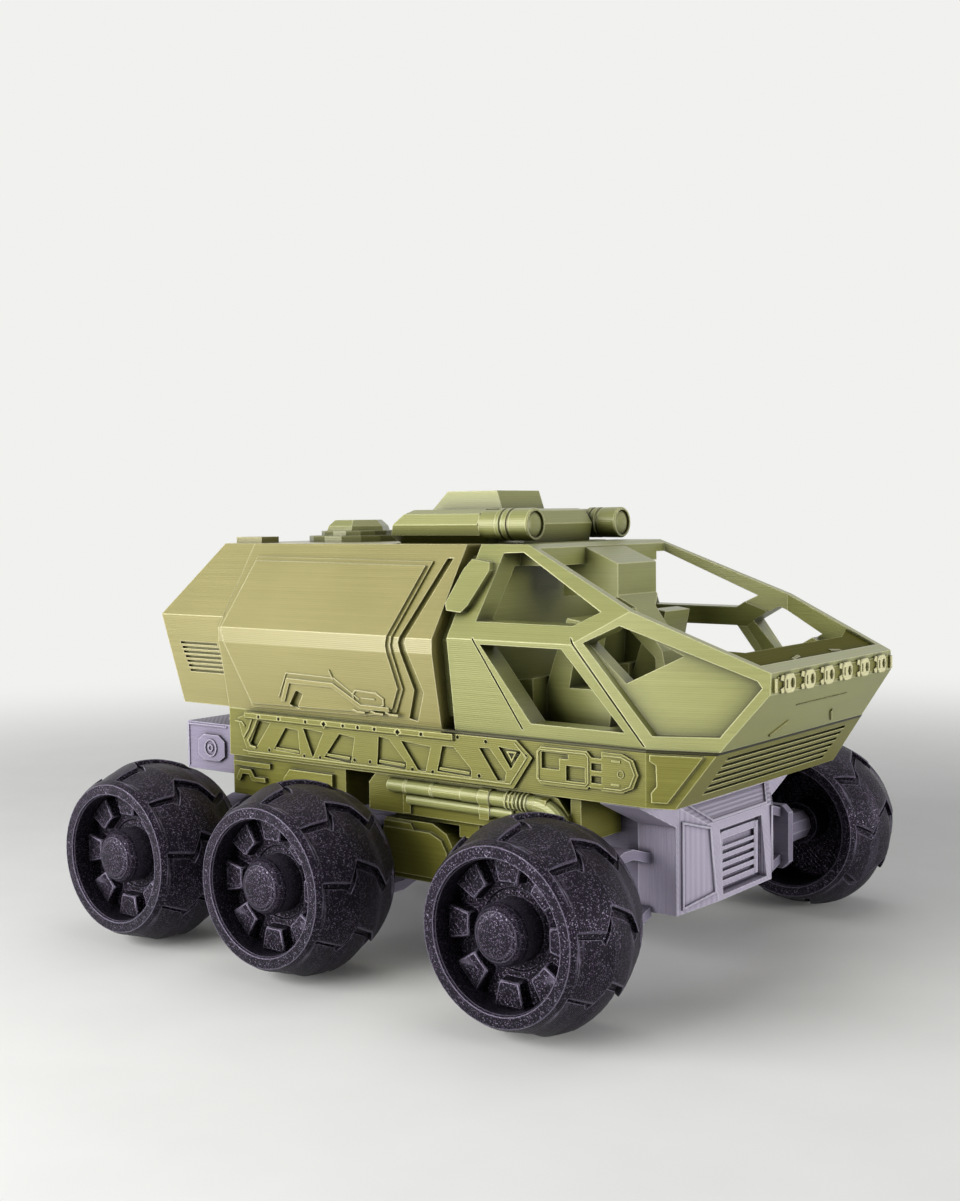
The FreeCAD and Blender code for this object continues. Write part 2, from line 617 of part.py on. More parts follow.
# Windows through the cabin's sides: ahead of the rover's middle and above the joint.
WINDOWS = {
    "upper_window": ((21.5, 27.9), (22.5, 44.6), (28.7, 44.8), (57.3, 31.2), (50.7, 27.8)),
    "lower_window": ((24.6, 22.5), (49.1, 22.4), (65.2, 3.5), (38.3, 3.6)),
    "nose_opening": ((63.1, 28.2), (54.8, 24.1), (64.2, 14.7), (76.9, 21.3)),
}
NOSE_WINDOW = ((63.1, 28.2), (54.8, 24.1), (72.0, 3.1), (87.0, 3.4), (95.6, 14.8), (94.5, 16.3))
SEAMS = {
    "rear_seam": ((22.1, 23.9), (35.4, 1.9)),
    "front_seam": ((51.1, 25.1), (70.0, 0.6)),
}
windows = together("windows", *(
    plate(name, "side", placed(rows, up="seam_z"), OUT, "0.8 * roof_half", SPAN)
    for name, rows in WINDOWS.items()))
nose_recess = cut(
    "nose_recess",
    plate("nose_window", "side", placed(NOSE_WINDOW, up="seam_z"), OUT, "0", SPAN),
    prism("recess_core", inset("recess_plan", cabin_plan, "recess"), lean, "roof_z"),
)
door_seams = skin("door_seams", cabin_section, "seam_width", [
    plate(name, "side", (
        (f"{top[0]}", f"seam_z + {top[1]}"),
        (f"{top[0]} + seam_width", f"seam_z + {top[1]}"),
        (f"{foot[0]} + seam_width", f"seam_z + {foot[1]}"),
        (f"{foot[0]}", f"seam_z + {foot[1]}"),
    ), OUT, "0.5 * roof_half", SPAN)
    for name, (top, foot) in SEAMS.items()
], "0", "strip_x")
SCREEN = (
    ("roof_front_x + 2.2", "cabin_roof_half - 1.6"),
    ("roof_front_x + 36", "cabin_crease_half - 7.4"),
    ("strip_x - 3.4", "cabin_crease_half - 14.7"),
)
windscreen = common(
    "windscreen",
    plate("screen_plan", "plan", [(x, f"-({y})") for x, y in SCREEN] + list(reversed(SCREEN)),
          UP, "strip_low - screen_depth", "2 * roof_z"),
    plate("screen_band", "side", (
        ("roof_front_x", "roof_z - screen_depth"),
        ("strip_x", "strip_top - screen_depth"),
        ("strip_x", "2 * roof_z"),
        ("roof_front_x", "2 * roof_z"),
    ), ACROSS, f"-({SPAN})", SPAN),
)
cabin = cut(
    "cabin",
    fuse("cabin_outer", cabin_block, neck, both("rail_both", rail)),
    together("cabin_openings", cabin_inner, windscreen, both("windows_both", windows),
             both("nose_recess_both", nose_recess), both("door_seams_both", door_seams)),
)
node(cabin, "cabin_shell")

# --- hood between the windscreen beams, behind the lamp strip ---------------------------------
HOOD = (
    ("strip_x - 10.4", "0.6 * cabin_low_half"),
    ("strip_x - 13.0", "cabin_crease_half - 12.3"),
    ("strip_x - 3.4", "cabin_crease_half - 14.7"),
)
hood_band = []
for x, drop in (("strip_x - 20", "hood_drop + hood_sheet"), ("strip_x", "hood_drop + hood_sheet"),
                ("strip_x", "hood_drop"), ("strip_x - 20", "hood_drop")):
    hood_band.append((x, f"strip_top + (strip_x - ({x})) * {SLOPE} - ({drop})"))
node(common(
    "hood",
    plate("hood_plan", "plan", [(x, f"-({y})") for x, y in HOOD] + list(reversed(HOOD)),
          UP, "strip_low - screen_depth", "roof_z"),
    plate("hood_side", "side", hood_band, ACROSS, f"-({SPAN})", SPAN),
), "hood")

# --- lamps: a bar across the nose with its row of lamp blocks -----------------------------------
LAMP_Z = "(0.5 * (strip_low + strip_top) - 0.4)"
# across the rover and up, from the middle of each lamp: block, lens and slot, then claws
LAMP_BLOCK = ((-2.6, -1.2), (-1.4, -2.2), (1.6, -2.2), (2.8, -1.0), (2.8, 1.0), (1.6, 2.2),
              (-1.4, 2.2), (-2.6, 1.2))
LAMP_SUNK = (
    ((-1.9, -1.0), (-1.1, -1.0), (-1.1, 1.0), (-1.9, 1.0)),
    ((0.1, 0), (0.7, -1.1), (1.9, -1.1), (2.3, 0), (1.9, 1.1), (0.7, 1.1)),
)
LAMP_CLAWS = (
    ((-4.2, 1.0), (-2.4, 0.6), (-2.4, 2.1), (-3.6, 2.1)),
    ((-4.2, -1.0), (-3.6, -2.1), (-2.4, -2.1), (-2.4, -0.6)),
)
lamps = [box("lamp_bar", ("strip_x", "-lamp_bar_half", f"{LAMP_Z} - lamp_bar_rise"),
             ("strip_x + 0.3 * lamp_proud", "lamp_bar_half", f"{LAMP_Z} + lamp_bar_rise"))]
lamp_count = int(size("lamp_count"))
for i in range(lamp_count):
    middle = f"{i - (lamp_count - 1) / 2} * lamp_pitch"
    blocks = [plate(f"lamp_{i}_block", "section", placed(LAMP_BLOCK, middle, LAMP_Z), ALONG,
                    "strip_x", "strip_x + lamp_proud")]
    for j, rows in enumerate(LAMP_CLAWS):
        blocks.append(plate(f"lamp_{i}_claw_{j}", "section", placed(rows, middle, LAMP_Z), ALONG,
                            "strip_x", "strip_x + 0.7 * lamp_proud"))
    holes = [plate(f"lamp_{i}_sunk_{j}", "section", placed(rows, middle, LAMP_Z), ALONG,
                   "strip_x + 0.4 * lamp_proud", "strip_x + 2 * lamp_proud")
             for j, rows in enumerate(LAMP_SUNK)]
    lamps.append(cut(f"lamp_{i}", fuse(f"lamp_{i}_joined", *blocks),
                     together(f"lamp_{i}_holes", *holes)))
node(fuse("lamp_strip", *lamps), "lamp_strip")

# --- cabin fittings: seats, overhead console with its column ---------------------------------
# ahead of the rover's middle and above the cabin floor; then the two sides of each piece
FLOOR = "(seam_z + cabin_floor)"
SEAT_PIECES = (
    ("seat_base", ((31.0, 0), (50.0, 0), (51.5, 9.0), (31.0, 9.0)), "14", "27"),
    ("seat_back", ((31.0, 9.0), (38.0, 9.0), (41.5, 26.0), (37.5, 26.6), (33.0, 15.0)), "14", "27"),
    ("seat_chest", ((17.0, 0), (31.0, 0), (31.0, 11.6), (17.0, 9.4)), "12", "33"),
)
seat = fuse("seat", *(plate(name, "side", placed(rows, up=FLOOR), OUT,
                            f"{inner} * outline_step", f"{outer} * outline_step")
                      for name, rows, inner, outer in SEAT_PIECES))
pair(seat, "seat")
console_side = plate("console_side", "side", (
    ("roof_front_x - 5", "roof_z - cabin_roof"),
    ("roof_front_x - 5", "roof_z - console_drop"),
    ("roof_front_x + 3", "roof_z - console_drop"),
    ("bend_x - 21", "roof_z - 30"),
    ("bend_x - 21", FLOOR),
    ("bend_x - 15", FLOOR),
    ("bend_x - 19", "roof_z - 28"),
    ("roof_front_x + 12.2", "roof_z - 13.6"),
    ("roof_front_x + 12.2", "roof_z - 5.4"),
    ("roof_front_x + 7.2", "roof_z - 3.3"),
    ("roof_front_x + 2.2", "roof_z - 1.2"),
    ("roof_front_x + 2.2", "roof_z - cabin_roof"),
), ACROSS, f"-({SPAN})", SPAN)
console_front = plate("console_front", "section", (
    ("-column_half", FLOOR),
    ("column_half", FLOOR),
    ("column_half", "roof_z - 1.2 * console_drop"),
    ("console_half", "roof_z - console_drop"),
    ("console_half", "2 * roof_z"),
    ("-console_half", "2 * roof_z"),
    ("-console_half", "roof_z - console_drop"),
    ("-column_half", "roof_z - 1.2 * console_drop"),
), ALONG, "0", "strip_x")
node(common("console", console_side, console_front), "overhead_console")

# --- chassis box, front bulkhead and rear box ------------------------------------------------
rear_block = box("rear_block", ("rear_box_x", "-rear_box_half", "rear_box_low"),
                 ("hull_rear_x", "rear_box_half", "rear_box_top"))
# raised oval on each side of the rear box: from its rear face and its underside
OVAL = ((5.6, 4.6), (8.2, 3.0), (14.4, 3.0), (17.0, 4.6), (17.0, 9.0), (14.4, 10.8), (8.2, 10.8),
        (5.6, 9.0))
oval = plate("oval", "side", placed(OVAL, "rear_box_x", "rear_box_low"), OUT,
             "beam_half", "rear_box_half + relief")
node(fuse("rear_box", rear_block, both("ovals", oval)), "rear_box")
beam = box("beam_block", ("beam_rear_x", "-beam_half", "beam_low"),
           ("bulkhead_back_x", "beam_half", "hull_low"))
node(cut("beam", beam, rear_block), "chassis_box")

bulkhead_section = outline("bulkhead_section", "section", (
    ("-bulkhead_half", "bulkhead_low"),
    ("bulkhead_half", "bulkhead_low"),
    ("bulkhead_half", "hull_low - gusset_drop"),
    ("bulkhead_half + gusset_reach", "hull_low - gusset_edge"),
    ("bulkhead_half + gusset_reach", "hull_low"),
    ("-bulkhead_half - gusset_reach", "hull_low"),
    ("-bulkhead_half - gusset_reach", "hull_low - gusset_edge"),
    ("-bulkhead_half", "hull_low - gusset_drop"),
), level="bulkhead_back_x")
prow = common(
    "prow",
    plate("prow_side", "side", (
        ("bulkhead_back_x", "bulkhead_low"),
        ("bulkhead_front_x", "bulkhead_low"),
        ("prow_x", "bulkhead_low + 2.4"),
        ("prow_x - 1.5", "hull_low - 8.4"),
        ("bulkhead_front_x", "hull_low - 3.4"),
        ("bulkhead_back_x", "hull_low - 3.4"),
    ), ACROSS, "-bulkhead_half", "bulkhead_half"),
    plate("prow_plan", "plan", (
        ("bulkhead_back_x", "-bulkhead_half"),
        ("bulkhead_front_x", "-bulkhead_half + 0.8"),
        ("prow_x", "-prow_half + 1.6"),
        ("prow_x", "prow_half - 1.6"),
        ("bulkhead_front_x", "bulkhead_half - 0.8"),
        ("bulkhead_back_x", "bulkhead_half"),
    ), UP, "bulkhead_low", "hull_low"),
)
# sunk panel on the front, and the bars left standing in it: heights above the underside
sunk_panel = plate("sunk_panel", "section", (
    ("-prow_half + 4.0", "bulkhead_low + 3.6"),
    ("prow_half - 4.0", "bulkhead_low + 3.6"),
    ("prow_half - 4.6", "hull_low - 10.6"),
    ("-prow_half + 4.6", "hull_low - 10.6"),
), ALONG, "prow_x - 3.2", "2 * prow_x")
BARS = ((4.6, 1.5), (7.2, 1.2), (9.4, 1.2), (11.6, 1.2), (13.8, 0.9), (16.6, 1.9))
bars = together("front_bars", *(
    box(f"front_bar_{i}", ("bulkhead_front_x", "-prow_half + 5.4", f"bulkhead_low + {rise}"),
        ("prow_x - 2.1", "prow_half - 5.4", f"bulkhead_low + {rise + height}"))
    for i, (rise, height) in enumerate(BARS)))
bulkhead = node(fuse("bulkhead", prism("bulkhead_plate", bulkhead_section, ALONG,
                            "bulkhead_front_x - bulkhead_back_x"),
          cut("prow_sunk", prow, sunk_panel), bars), "front_bulkhead")

# --- side pods: blocks on the chassis box, with their pipes, collars and lids -------------------
# Name, side outline (ahead of the rover's middle and above the chassis' underside) and how far
# the block stands out past the pods' face.
PODS = {
    "upper_pod": (
        (((-15.7, 18.3), (48.6, 18.3), (48.6, 24.0), (46.0, 27.4), (44.0, 28.2), (-13.4, 28.2),
          (-15.7, 25.6)), "-1.2"),
        (((-8.0, 16.9), (13.6, 16.9), (13.6, 14.0), (20.0, 14.0), (20.0, 18.3), (-8.0, 18.3)), "-3.0"),
        (((48.6, 17.0), (51.6, 17.0), (51.6, 28.2), (48.6, 28.2)), "-2.4"),
        (((-3.2, 18.8), (-0.6, 18.8), (-0.6, 27.2), (-3.2, 27.2)), "-0.4"),
        (((23.2, 20.4), (26.2, 20.4), (26.2, 27.8), (23.2, 27.8)), "1.0"),
        (((33.0, 19.6), (41.6, 19.6), (43.6, 21.6), (43.6, 24.6), (33.0, 24.6)), "-0.2"),
    ),
    "lower_tank": (
        (((-9.8, 1.3), (13.2, 1.3), (13.2, 10.6), (10.9, 14.6), (6.2, 16.9), (-9.8, 16.9)), "-1.0"),
        (((-9.8, 2.8), (11.6, 2.8), (11.6, 10.0), (9.8, 13.0), (6.0, 14.6), (-9.8, 14.6)), "0"),
        (((-9.8, 14.6), (0.6, 14.6), (-0.6, 16.3), (-9.8, 16.3)), "-0.2"),
    ),
    "rear_pod": (
        (((-68.4, 17.0), (-24.4, 17.0), (-24.4, 28.2), (-68.4, 28.2)), "-1.4"),
        (((-67.4, 25.4), (-52.6, 25.4), (-52.6, 26.8), (-67.4, 26.8)), "-0.4"),
        (((-64.8, 21.0), (-63.6, 23.2), (-61.0, 23.2), (-59.8, 21.4), (-54.5, 21.4), (-54.5, 22.6),
          (-58.8, 22.6), (-60.2, 24.6), (-64.6, 24.6), (-66.2, 21.6)), "-0.2"),
        (((-47.0, 18.0), (-28.4, 18.0), (-28.4, 26.2), (-44.6, 26.2), (-47.0, 23.6)), "-0.2"),
    ),
}
# pipes on the upper pod: rear end, front end, height above the chassis' underside, radius
PIPES = (
    ("4.0", "43.6", "25.8", "pipe_radius"),
    ("31.0", "34.6", "25.8", "1.25 * pipe_radius"),
    ("-1.0", "33.2", "22.6", "0.75 * pipe_radius"),
)
FACING = Rotation(Vector(0, 1, 0), 90)
for name, blocks in PODS.items():
    parts = [plate(f"{name}_{i}", "side", placed(rows, up="beam_low"), OUT, "beam_half",
                   f"pod_half + ({past}) * outline_step") for i, (rows, past) in enumerate(blocks)]
    if name == "upper_pod":
        for i, (rear, front, rise, radius) in enumerate(PIPES):
            ring = flat_ring(f"pipe_ring_{i}", "8", radius,
                             (rear, "-pod_half + 0.6", f"beam_low + {rise}"), FACING)
            parts.append(prism(f"pipe_{i}", ring, ALONG, f"{front} - ({rear})"))
    pair(fuse(f"{name}_joined", *parts), name)

# --- roof gear: fairing with rounded flanks, instrument case, tubes and hatch ---------------------
fairing_side = plate("fairing_side", "side", (
    ("-24.4", "roof_z"),
    ("-24.4", "roof_z + 1.4"),
    ("-22", "tube_z + 0.4"),
    ("-17.2", "tube_z + 4.6"),
    ("9.4", "tube_z + 4.6"),
    ("14.4", "tube_z + 3.6"),
    ("16.8", "tube_z"),
    ("15.8", "roof_z"),
), ACROSS, f"-({SPAN})", SPAN)
FLANK = (("-1.8", "roof_z"), ("0", "tube_z - 4.1"), ("2.9", "tube_z - 2.9"), ("4.1", "tube_z"),
         ("2.9", "tube_z + 2.9"), ("0", "tube_z + 4.1"))
flank_right = [(f"-(tube_y + {out})", up) for out, up in FLANK]
flank_left = [(f"tube_y + ({out})", up) for out, up in reversed(FLANK)]
fairing_body = common(
    "fairing_body", fairing_side,
    plate("fairing_rear", "section", flank_right + flank_left, ALONG, "-tube_y - 10",
          "tube_rear_x"))
fairing_front = common(
    "fairing_front", fairing_side,
    box("fairing_front_block", ("0", "-tube_y + tube_radius + 1", "roof_z"),
        ("tube_front_x", "tube_y - tube_radius - 1", "tube_z + 4.1")))
node(fuse("fairing", fairing_body, fairing_front), "roof_fairing")
node(plate("case", "side", (
    ("-20.3", "tube_z + 4.1"),
    ("4.4", "tube_z + 4.1"),
    ("2.6", "case_top"),
    ("-14.8", "case_top"),
), ACROSS, "-case_half", "case_half"), "instrument_case")

# each tube: start, end (ahead of its rear end) and radius, then the cup in its front
TUBE_STEPS = (("0", "8.4", "tube_radius"), ("8.4", "10.2", "tube_radius + 0.5"),
              ("10.2", "11.2", "tube_radius - 0.2"),
              ("11.2", "tube_front_x - tube_rear_x", "tube_radius + 0.5"))
tube_parts = []
for i, (start, end, radius) in enumerate(TUBE_STEPS):
    ring = flat_ring(f"tube_ring_{i}", "tube_sides", radius,
                     (f"tube_rear_x + {start}", "-tube_y", "tube_z"), FACING)
    tube_parts.append(prism(f"tube_step_{i}", ring, ALONG, f"({end}) - ({start})"))
cup_ring = flat_ring("cup_ring", "tube_sides", "tube_radius - 0.9",
                     ("tube_front_x - 1.4", "-tube_y", "tube_z"), FACING)
pair(cut("tube", fuse("tube_joined", *tube_parts), prism("cup", cup_ring, ALONG, "3")),
     "roof_tube")

# roof hatch: stepped discs under a six-sided dome (sides, radius, height from, height to)
HATCH = (("hatch_disc", "16", "14.6", "0", "1.8"), ("hatch_step", "16", "11", "1.8", "3.2"))
hatch_parts = []
for name, sides, radius, low, high in HATCH:
    ring = flat_ring(f"{name}_ring", sides, radius, ("hatch_x", "0", f"roof_z + ({low})"), Rotation())
    hatch_parts.append(prism(name, ring, UP, f"{high} - ({low})"))
DOME = (("8.6", "roof_z + 3.2"), ("8.2", "roof_z + 4.6"), ("6.4", "roof_z + 6.4"))
hatch_parts.append(flat_sided("hatch_dome", 6, DOME, "side", 30, ("hatch_x", "0", "0")))
node(fuse("hatch", *hatch_parts), "roof_hatch")

# --- wheels: one right-hand tyre and hub about the origin, outer face to -Y ------------------
HALF = "(wheel_width / 2)"
WHEEL_TURN = Rotation(Vector(0, 1, 0), 90 - 180 / size("wheel_sides")) * Rotation(Vector(1, 0, 0), 90)


def wheel_ring(name, radius, offset, sides="wheel_sides"):
    """Polygon about the wheel's axle, at an offset along it."""
    return flat_ring(name, sides, radius, ("0", offset, "0"), WHEEL_TURN)


def barrel(name, drop):
    """Barrel of the tyre, its tread lowered by a formula."""
    stations = (("face_radius", f"-{HALF}"), (f"shoulder_radius - {drop}", "-crown_half"),
                (f"wheel_radius - {drop}", "0"), (f"shoulder_radius - {drop}", "crown_half"),
                ("face_radius", HALF))
    return flat_sided(name, size("wheel_sides"), stations, "plan", 90)


# Zigzag groove between two tread plates, inside one flat: across the flat and along the axle.
GROOVE = ((0.2, -12.6), (2.6, -6.6), (-3.6, -2.8), (-0.6, 3.6), (3.4, 7.4), (-0.8, 12.6))
groove_corners = [(f"{across} + groove_half", str(along)) for across, along in GROOVE]
groove_corners += [(f"{across} - groove_half", str(along)) for across, along in reversed(GROOVE)]
grooves = []
groove_count = int(size("wheel_sides") / 2)
for i in range(groove_count):
    sketch = outline(f"groove_outline_{i}", "plan", groove_corners)
    turn = Rotation(Vector(0, 1, 0), 360 * (i + 0.5) / groove_count)
    sketch.Placement = Placement(Vector(), turn)
    grooves.append(prism(f"groove_{i}", sketch, turn.multVec(UP), "2 * wheel_radius"))
tread_cuts = cut("tread_cuts", together("grooves", *grooves), barrel("carcass", "groove_depth"))
well = prism("well", wheel_ring("well_ring", "well_radius", "wheel_width"), OUT, "2 * wheel_width")
tyre = cut("tyre_cut", cut("tyre_treaded", barrel("tyre_barrel", "0"), tread_cuts), well)

DISC_OUTER = f"(well_depth - {HALF})"
DISC_INNER = f"({DISC_OUTER} + disc_thickness)"
hub_parts = [
    prism("disc", wheel_ring("disc_ring", "well_radius", DISC_INNER), OUT, "disc_thickness"),
    prism("hub_boss", wheel_ring("boss_ring", "hub_back_radius", f"{DISC_INNER} + hub_back",
                                 "hub_sides"), OUT, "hub_back + 0.5 * disc_thickness"),
    flat_sided("hub_barrel", size("hub_sides"), (
        ("hub_radius", f"{DISC_OUTER} + 0.5 * disc_thickness"),
        ("hub_radius", f"hub_chamfer - {HALF}"),
        ("hub_nose", f"-{HALF}"),
    ), "plan", 90),
]
pad_count = int(size("pad_count"))
pad_reach = math.tan(math.pi / pad_count) * 0.66
for i in range(pad_count):
    turn = Rotation(Vector(0, 1, 0), 360 * i / pad_count)
    sketch = outline(f"pad_outline_{i}", "side", (
        (f"-{pad_reach:.4f} * pad_inner", "pad_inner"),
        (f"{pad_reach:.4f} * pad_inner", "pad_inner"),
        (f"{pad_reach:.4f} * pad_outer", "pad_outer"),
        (f"-{pad_reach:.4f} * pad_outer", "pad_outer"),
    ))
    sketch.Placement = Placement(Vector(), turn * PLANES["side"])
    hub_parts.append(prism(f"pad_{i}", sketch, OUT, f"{HALF} - well_depth + pad_height",
                           f"-({HALF} - well_depth - 0.5 * disc_thickness)"))
bore = cylinder("bore", "axle_radius + bore_clearance", f"hub_back - {DISC_OUTER} + {DISC_INNER}",
                ("0", f"{DISC_INNER} + hub_back", "0"), OUT)
hub = cut("hub_bored", fuse("hub_joined", *hub_parts), bore)

# --- knuckles: plate, collar and stub axle, about the axle; arms from chassis to knuckle --------
PLATE_IN = "(knuckle_half_y - knuckle_plate)"
HUB_BACK_Y = f"(track_half - {DISC_INNER} - hub_back)"
knuckle = fuse(
    "knuckle",
    plate("knuckle_web", "side", (
        ("-knuckle_half", "-knuckle_drop + 2"),
        ("-knuckle_half + 2", "-knuckle_drop"),
        ("knuckle_half - 2", "-knuckle_drop"),
        ("knuckle_half", "-knuckle_drop + 2"),
        ("knuckle_half", "knuckle_rise - 2"),
        ("knuckle_half - 2", "knuckle_rise"),
        ("-knuckle_half + 2", "knuckle_rise"),
        ("-knuckle_half", "knuckle_rise - 2"),
    ), OUT, PLATE_IN, "knuckle_half_y"),
    prism("collar", flat_ring("collar_ring", "hub_sides", "collar_radius",
                              ("0", f"-{PLATE_IN}", "0"), WHEEL_TURN), OUT,
          f"{HUB_BACK_Y} - collar_gap - {PLATE_IN}"),
    prism("stub", flat_ring("stub_ring", "axle_sides", "axle_radius * cos(180 deg / axle_sides)",
                            ("0", f"-{PLATE_IN}", "0"), WHEEL_TURN), OUT,
          f"track_half - {DISC_OUTER} - axle_end_gap - {PLATE_IN}"),
)
arms = []
for level, sign in (("upper", "+"), ("lower", "-")):
    rise = f"{sign}1 * arm_spread"
    bow = f"{sign}1 * arm_bow"
    half = "0.5 * arm_thickness"
    top = (("beam_half", rise), (f"0.6 * beam_half + 0.4 * {PLATE_IN}", f"{rise} + {bow}"),
           (f"0.4 * beam_half + 0.6 * {PLATE_IN}", f"{rise} + {bow}"), (PLATE_IN, rise))
    corners = [(f"-({y})", f"{z} + {half}") for y, z in top]
    corners += [(f"-({y})", f"{z} - {half}") for y, z in reversed(top)]
    arms.append(plate(f"arm_{level}", "section", corners, ALONG, "-0.5 * arm_width",
                      "0.5 * arm_width"))
arm_pair = together("arm_pair", *arms)

# every axle carries the same pieces
AXLES = (("front", "front_axle_x"), ("middle", "middle_axle_x"), ("rear", "rear_axle_x"))
CORNER_PIECES = (("tyre", tyre, "-track_half"), ("hub", hub, "-track_half"), ("knuckle", knuckle, "0"),
                 ("arms", arm_pair, "0"))
for axle, axle_x in AXLES:
    for name, piece, across in CORNER_PIECES:
        copy = together(f"{name}_{axle}", piece)
        for axis, text in zip("xyz", (axle_x, across, "wheel_radius")):
            copy.setExpression(f".Placement.Base.{axis}", formula(text))
        if name == "arms":
            copy = cut(f"arms_{axle}_clear", copy, bulkhead)
        pair(copy, f"{name}_{axle}")

doc.recompute()

# --- check every object, then write one file for each piece -----------------------------------
for obj in doc.Objects:
    if "Invalid" in obj.State or "Error" in obj.State:
        raise RuntimeError(f"{obj.Label} did not recompute: {obj.State}")
for obj in NODES:
    shape = obj.Shape
    if shape.isNull() or not shape.isValid() or shape.Volume <= 0:
        raise RuntimeError(f"{obj.Label} has no valid solid")
    shape.exportStep(f"parts/{obj.Label}.step")
    b = shape.BoundBox
    print(f"{obj.Label:24s} {len(shape.Solids)} solids {shape.Volume:9.0f} mm3 "
          f"x {b.XMin:6.1f} {b.XMax:6.1f} y {b.YMin:6.1f} {b.YMax:6.1f} z {b.ZMin:6.1f} {b.ZMax:6.1f}")
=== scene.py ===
"""Six-wheeled display rover with a hollow cabin: its printed surfaces, wheels and small details."""
import math

import bmesh
import bpy
from mathutils import Matrix, Vector


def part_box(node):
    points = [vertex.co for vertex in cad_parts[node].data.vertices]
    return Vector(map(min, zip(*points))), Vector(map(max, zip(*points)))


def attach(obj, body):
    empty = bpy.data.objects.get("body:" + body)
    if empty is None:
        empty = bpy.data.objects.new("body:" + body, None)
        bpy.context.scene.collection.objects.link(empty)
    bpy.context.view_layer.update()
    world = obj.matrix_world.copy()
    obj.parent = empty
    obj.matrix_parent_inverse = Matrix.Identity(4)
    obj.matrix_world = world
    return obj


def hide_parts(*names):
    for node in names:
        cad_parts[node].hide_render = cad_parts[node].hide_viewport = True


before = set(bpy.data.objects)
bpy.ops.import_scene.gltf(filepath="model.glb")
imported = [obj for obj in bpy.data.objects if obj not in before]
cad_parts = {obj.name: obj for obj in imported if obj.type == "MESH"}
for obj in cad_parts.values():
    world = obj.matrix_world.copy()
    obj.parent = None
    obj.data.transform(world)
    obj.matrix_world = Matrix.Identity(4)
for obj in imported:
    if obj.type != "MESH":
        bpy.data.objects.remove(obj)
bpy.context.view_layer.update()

# --- Studio ------------------------------------------------------------------------------
# A matt pale floor that runs out of view, a white surround for camera and mirror rays, and
# three large soft lamps. The camera stands low, off the front right corner of the rover.
MM = 0.001


def linear(hex_colour):
    """sRGB hex to the linear values that a shader takes, with alpha."""
    values = [int(hex_colour[i:i + 2], 16) / 255 for i in (1, 3, 5)]
    return tuple(v / 12.92 if v <= 0.04045 else ((v + 0.055) / 1.055) ** 2.4 for v in values) + (1,)


def add(tree, kind, links=(), **settings):
    """Add a shader node: settings name its attributes or inputs, links pair inputs with sockets."""
    node = tree.nodes.new("ShaderNode" + kind)
    for name, value in settings.items():
        if hasattr(node, name):
            setattr(node, name, value)
    inputs = {}
    for socket in node.inputs:
        if socket.enabled:
            inputs.setdefault(socket.name, socket)
    for name, value in settings.items():
        if not hasattr(node, name):
            inputs[name.replace("_", " ")].default_value = value
    for name, socket in dict(links).items():
        tree.links.new(socket, inputs[name] if isinstance(name, str) else node.inputs[name])
    return node


def new_material(name):
    """Empty material and its Principled shader."""
    material = bpy.data.materials.new(name)
    material.use_nodes = True
    return material, material.node_tree, material.node_tree.nodes["Principled BSDF"]


def seeing_rays(tree):
    """1 for rays from the camera and for those that mirror or pass through a piece."""
    rays = add(tree, "LightPath").outputs
    through = add(tree, "Math", {0: rays["Is Transmission Ray"], 1: rays["Is Glossy Ray"]},
                  operation="MAXIMUM")
    return add(tree, "Math", {0: rays["Is Camera Ray"], 1: through.outputs[0]},
               operation="MAXIMUM").outputs[0]


SURROUND = linear("#F1F1EF")

scene = bpy.context.scene
scene.view_settings.view_transform = "Standard"

world = bpy.data.worlds.new("studio")
world.use_nodes = True
scene.world = world
air = world.node_tree
soft = air.nodes["Background"]
soft.inputs["Color"].default_value = linear("#D9DCE0")
soft.inputs["Strength"].default_value = 0.27
white = add(air, "Background", Color=SURROUND, Strength=1.0)
sky = add(air, "MixShader", {0: seeing_rays(air), 1: soft.outputs[0], 2: white.outputs[0]})
air.links.new(sky.outputs[0], air.nodes["World Output"].inputs["Surface"])

# Floor: board with rolled matt paint, which gives an even pale ground and a soft shadow.
bpy.ops.mesh.primitive_plane_add(size=6)
floor = bpy.context.object
floor.name = "floor"
board, tree, shader = new_material("painted_board_rolled")
grain = add(tree, "TexNoise", Scale=220.0, Detail=3.0)
tint = add(tree, "Mix", {"Factor": grain.outputs["Fac"]}, data_type="RGBA", A=linear("#E4E4E1"),
           B=linear("#ECECE9"))
tree.links.new(tint.outputs["Result"], shader.inputs["Base Color"])
shader.inputs["Roughness"].default_value = 0.85
# away from the rover the board turns into the white surround, where the camera sees it
place = add(tree, "TexCoord").outputs["Object"]
reach = add(tree, "VectorMath", {0: place}, operation="LENGTH")
far = add(tree, "MapRange", {"Value": reach.outputs["Value"]}, From_Min=0.16, From_Max=0.75,
          interpolation_type="SMOOTHERSTEP")
fade = add(tree, "Math", {0: far.outputs[0], 1: seeing_rays(tree)}, operation="MULTIPLY")
glow = add(tree, "Emission", Color=SURROUND, Strength=1.0)
ground = add(tree, "MixShader", {0: fade.outputs[0], 1: shader.outputs[0], 2: glow.outputs[0]})
tree.links.new(ground.outputs[0], tree.nodes["Material Output"].inputs["Surface"])
floor.data.materials.append(board)

